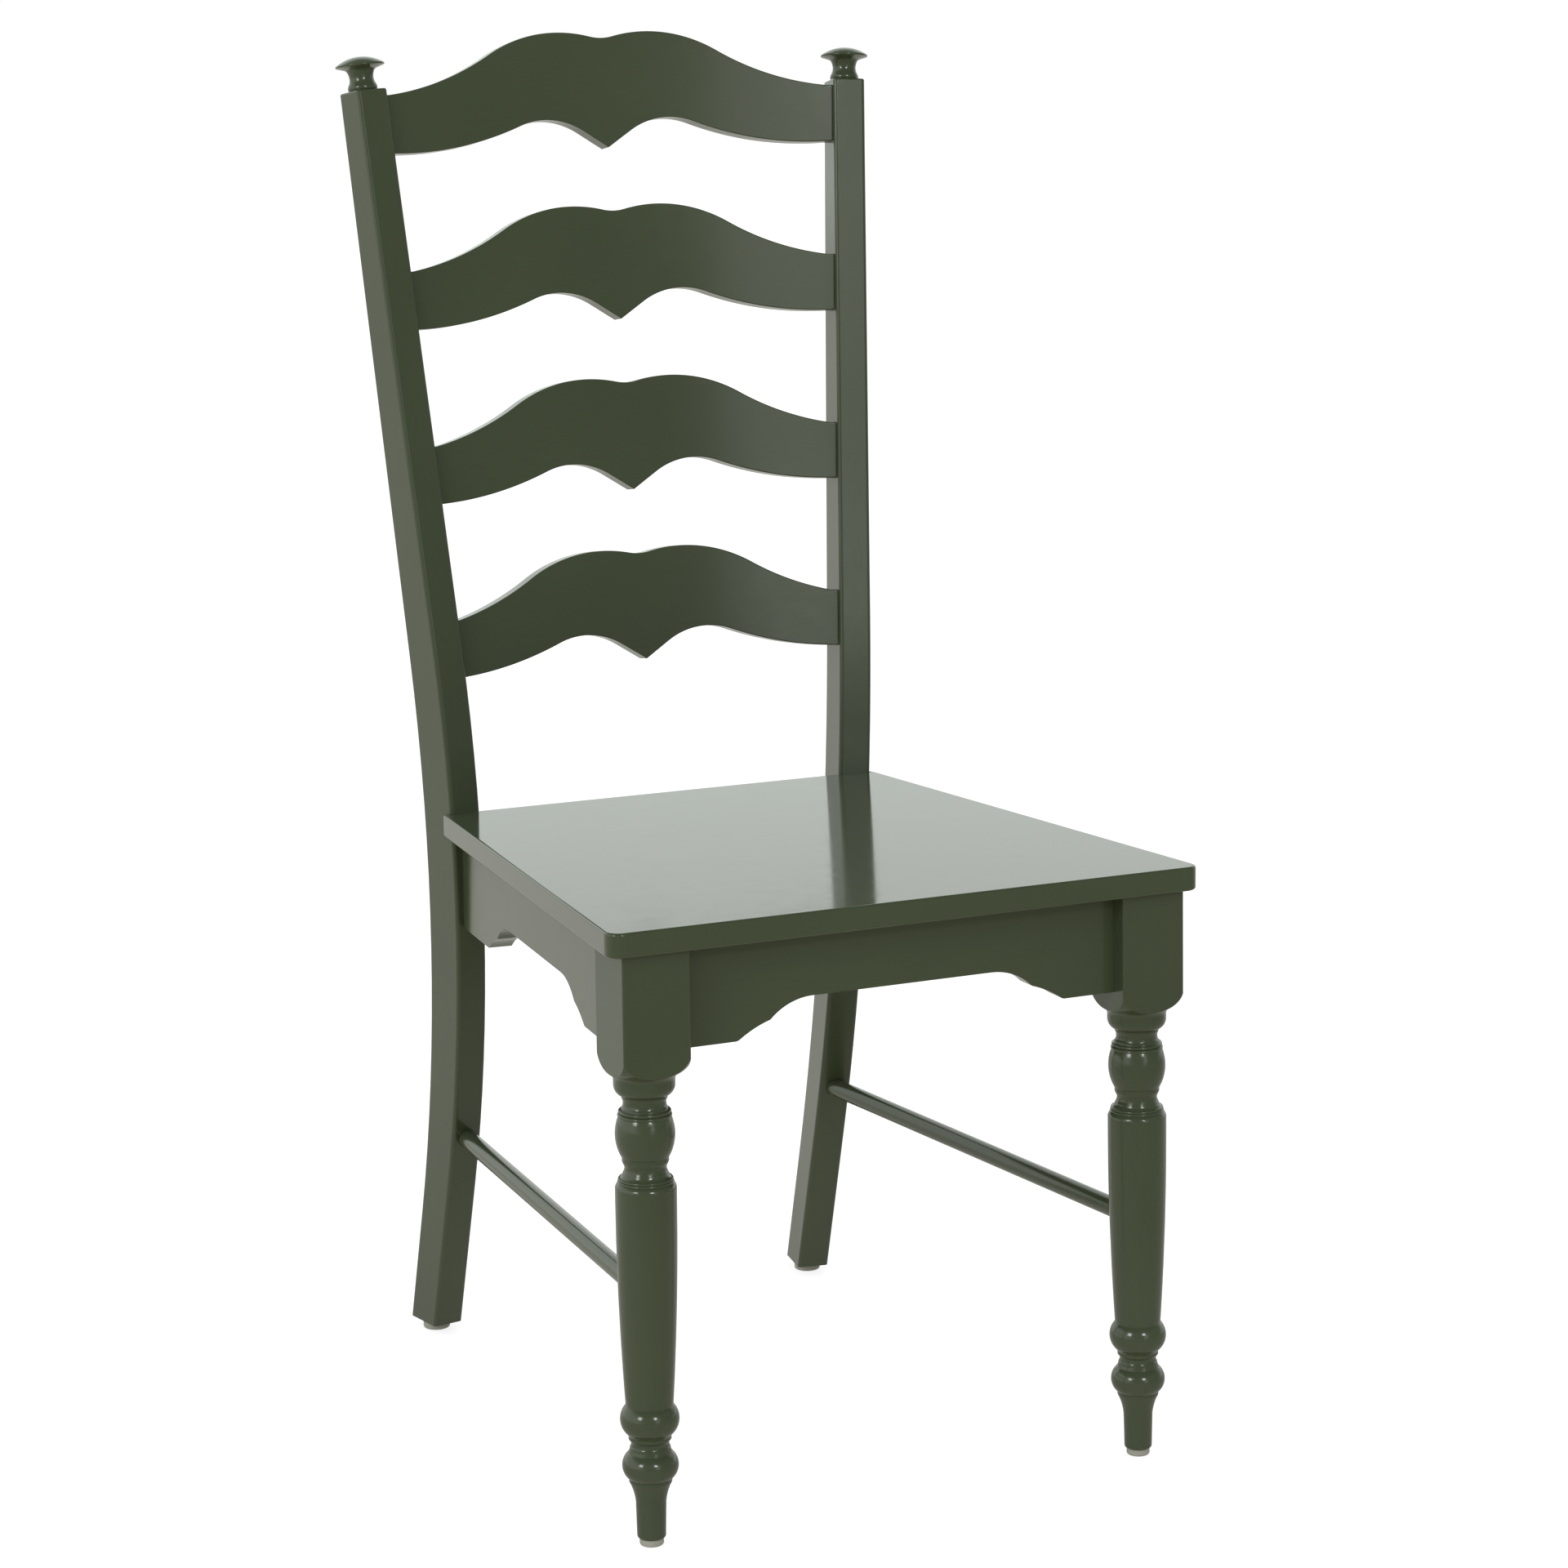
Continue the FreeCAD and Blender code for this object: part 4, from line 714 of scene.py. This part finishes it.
def direction(turn, lift):
    """Away from the chair: turned from its front and lifted from the level."""
    return Vector((math.sin(turn) * math.cos(lift), -math.cos(turn) * math.cos(lift),
                   math.sin(lift)))


def white_floor(settings):
    """White where it is seen, but for the chair's soft shadow; to glossy rays it glows as a
    painted reflection, dimmer in front than behind.
    """
    painter = MaterialPainter("white_floor")
    painter.tree.nodes.remove(painter.shader)
    paths = painter.add("ShaderNodeLightPath")
    camera = paths.outputs["Is Camera Ray"]
    glossy = paths.outputs["Is Glossy Ray"]
    place = painter.add("ShaderNodeSeparateXYZ")
    painter.link(painter.coordinates.outputs["Object"], place.inputs[0])
    # Painted reflection: the floor's glow for glossy rays, dimmer in front than behind.
    mirrored = painter.spread(place.outputs["Y"], -FLOOR_BLEND, FLOOR_BLEND,
                              settings.front_floor_reflection, settings.back_floor_reflection)
    tint = tuple(settings.floor_bounce)
    pale = tuple(FLOOR_PALENESS + (1 - FLOOR_PALENESS) * channel / tint[0] for channel in tint)
    share = settings.floor_shadow
    lit = painter.add("ShaderNodeBsdfDiffuse")
    thrown = painter.blend(camera, tint, shaded(WHITE, share))
    painter.link(painter.blend(glossy, thrown, BLACK), lit.inputs["Color"])
    # The glow is plain white for the camera and a pale warm painted reflection for glossy rays.
    glow = painter.add("ShaderNodeEmission")
    painter.link(painter.blend(glossy, WHITE, pale), glow.inputs["Color"])
    seen = painter.math("MULTIPLY", camera, FLOOR_WHITE - FLOOR_WHITE_LIT * share)
    painter.link(painter.math("ADD", seen, painter.math("MULTIPLY", glossy, mirrored)),
                 glow.inputs["Strength"])
    both = painter.add("ShaderNodeAddShader")
    painter.link(lit.outputs[0], both.inputs[0])
    painter.link(glow.outputs[0], both.inputs[1])
    painter.link(both.outputs[0], painter.tree.nodes["Material Output"].inputs["Surface"])
    return painter.material


def white_room(settings):
    """A white surround: plain white where seen, dim above and in front as a light."""
    world = bpy.data.worlds.new("white_room")
    world.use_nodes = True
    world.node_tree.nodes.clear()
    painter = NodePainter(world)

    def falloff(turn, lift, reach, least):
        """Full light away from a direction, down to the least share towards it."""
        facing = painter.add("ShaderNodeVectorMath", operation="DOT_PRODUCT")
        painter.link(painter.coordinates.outputs["Generated"], facing.inputs[0])
        facing.inputs[1].default_value = direction(turn, lift)
        return painter.spread(facing.outputs["Value"], *reach, 1.0, least, "SMOOTHSTEP")

    def light(colour, strength):
        node = painter.add("ShaderNodeBackground")
        painter.fill(node.inputs["Color"], colour)
        painter.fill(node.inputs["Strength"], strength)
        return node.outputs[0]

    def either(choice, first, second):
        node = painter.add("ShaderNodeMixShader")
        for socket, source in zip(node.inputs, (choice, first, second)):
            painter.link(source, socket)
        return node.outputs[0]

    front = falloff(settings.dim_direction, 0.0, FRONT_DIM, settings.front_shade)
    mirrored_front = falloff(settings.dim_mirrored, settings.dim_height, MIRRORED_DIM,
                             settings.mirrored_shade)
    above = falloff(0.0, math.pi / 2, CEILING_DIM, settings.mirrored_shade)
    mirrored = painter.math("MULTIPLY", painter.math("MULTIPLY", mirrored_front, above),
                            settings.room_light)
    paths = painter.add("ShaderNodeLightPath")
    lights = either(paths.outputs["Is Glossy Ray"],
                    light(WHITE, painter.math("MULTIPLY", front, settings.room_light)),
                    light(tuple(settings.mirrored_tint), mirrored))
    painter.link(either(paths.outputs["Is Camera Ray"], lights, light(WHITE, 1.0)),
                 painter.add("ShaderNodeOutputWorld").inputs["Surface"])
    bpy.context.scene.world = world


def softbox(name, power):
    """A soft light that faces the chair and isn't seen itself."""
    turn, lift, width, height = SOFTBOXES[name]
    way = direction(math.radians(turn), math.radians(lift))
    data = bpy.data.lights.new(name, "AREA")
    data.shape = "RECTANGLE"
    data.size = width
    data.size_y = height
    data.energy = power
    light = bpy.data.objects.new(name, data)
    bpy.context.scene.collection.objects.link(light)
    light.location = LIGHT_TARGET + way * LIGHT_DISTANCE
    light.rotation_mode = "QUATERNION"
    light.rotation_quaternion = way.to_track_quat("Z", "Y")
    light.visible_camera = False


def stand_camera(settings):
    """The camera, placed from the seat's back edge and turned, tilted and rolled."""
    turn, tilt, roll = settings.camera_turn, settings.camera_tilt, settings.camera_roll
    back = direction(turn, tilt)
    level = Vector((math.cos(turn), math.sin(turn), 0.0))
    upright = back.cross(level)
    right = level * math.cos(roll) + upright * math.sin(roll)
    up = upright * math.cos(roll) - level * math.sin(roll)
    data = bpy.data.cameras.new("camera")
    data.sensor_width = SENSOR
    data.lens = settings.lens
    data.clip_start = 0.05
    data.clip_end = 2 * FLOOR_HALF
    camera = bpy.data.objects.new("camera", data)
    bpy.context.scene.collection.objects.link(camera)
    matrix = Matrix((right, up, back)).transposed().to_4x4()
    matrix.translation = Vector(settings.camera_place) + Vector((0.0, SEAT_BACK, 0.0))
    camera.matrix_world = matrix
    bpy.context.scene.camera = camera


class CHAIR_OT_set_stage(bpy.types.Operator):
    """Make the white floor, the soft lights and the camera"""

    bl_idname = "chair.set_stage"
    bl_label = "Set Stage"

    def execute(self, context):
        settings = context.scene.chair_stage
        mesh = bpy.data.meshes.new("floor")
        mesh.from_pydata([(across * FLOOR_HALF, along * FLOOR_HALF, 0.0) for across, along in
                          ((-1, -1), (1, -1), (1, 1), (-1, 1))], [], [(0, 1, 2, 3)])
        floor = bpy.data.objects.new("floor", mesh)
        context.scene.collection.objects.link(floor)
        floor.location.z = CAD_BOX[0].z - FLOOR_DROP
        mesh.materials.append(white_floor(settings))
        white_room(settings)
        for name in SOFTBOXES:
            softbox(name, getattr(settings, name))
        stand_camera(settings)
        context.scene.view_settings.view_transform = "Standard"
        return {"FINISHED"}


class CHAIR_PT_panel(bpy.types.Panel):
    """Lists the chair's finishing steps"""

    bl_label = "Ladderback Chair"
    bl_idname = "CHAIR_PT_panel"
    bl_space_type = "VIEW_3D"
    bl_region_type = "UI"
    bl_category = "Chair"

    def draw(self, context):
        layout = self.layout
        for settings in (context.scene.chair_paint, context.scene.chair_trim,
                         context.scene.chair_stage):
            box = layout.box()
            for key in settings.bl_rna.properties.keys():
                if key not in ("rna_type", "name"):
                    box.prop(settings, key)
        for step in STEPS:
            layout.operator(step.bl_idname)


SETTINGS = (ChairPaintSettings, ChairTrimSettings, ChairStageSettings)
STEPS = (
    CHAIR_OT_paint_back_posts,
    CHAIR_OT_paint_finials,
    CHAIR_OT_paint_slats,
    CHAIR_OT_paint_seat,
    CHAIR_OT_paint_rails,
    CHAIR_OT_paint_front_legs,
    CHAIR_OT_paint_stretchers,
    CHAIR_OT_finish_glides,
    CHAIR_OT_finish_corner_blocks,
    CHAIR_OT_finish_hardware,
    CHAIR_OT_set_stage,
)


def register():
    for entry in SETTINGS + STEPS + (CHAIR_PT_panel,):
        bpy.utils.register_class(entry)
    bpy.types.Scene.chair_paint = PointerProperty(type=ChairPaintSettings)
    bpy.types.Scene.chair_trim = PointerProperty(type=ChairTrimSettings)
    bpy.types.Scene.chair_stage = PointerProperty(type=ChairStageSettings)


def unregister():
    del bpy.types.Scene.chair_stage
    del bpy.types.Scene.chair_trim
    del bpy.types.Scene.chair_paint
    for entry in reversed(SETTINGS + STEPS + (CHAIR_PT_panel,)):
        bpy.utils.unregister_class(entry)


def main():
    register()
    for step in STEPS:
        group, action = step.bl_idname.split(".")
        getattr(getattr(bpy.ops, group), action)()


if __name__ == "__main__":
    main()
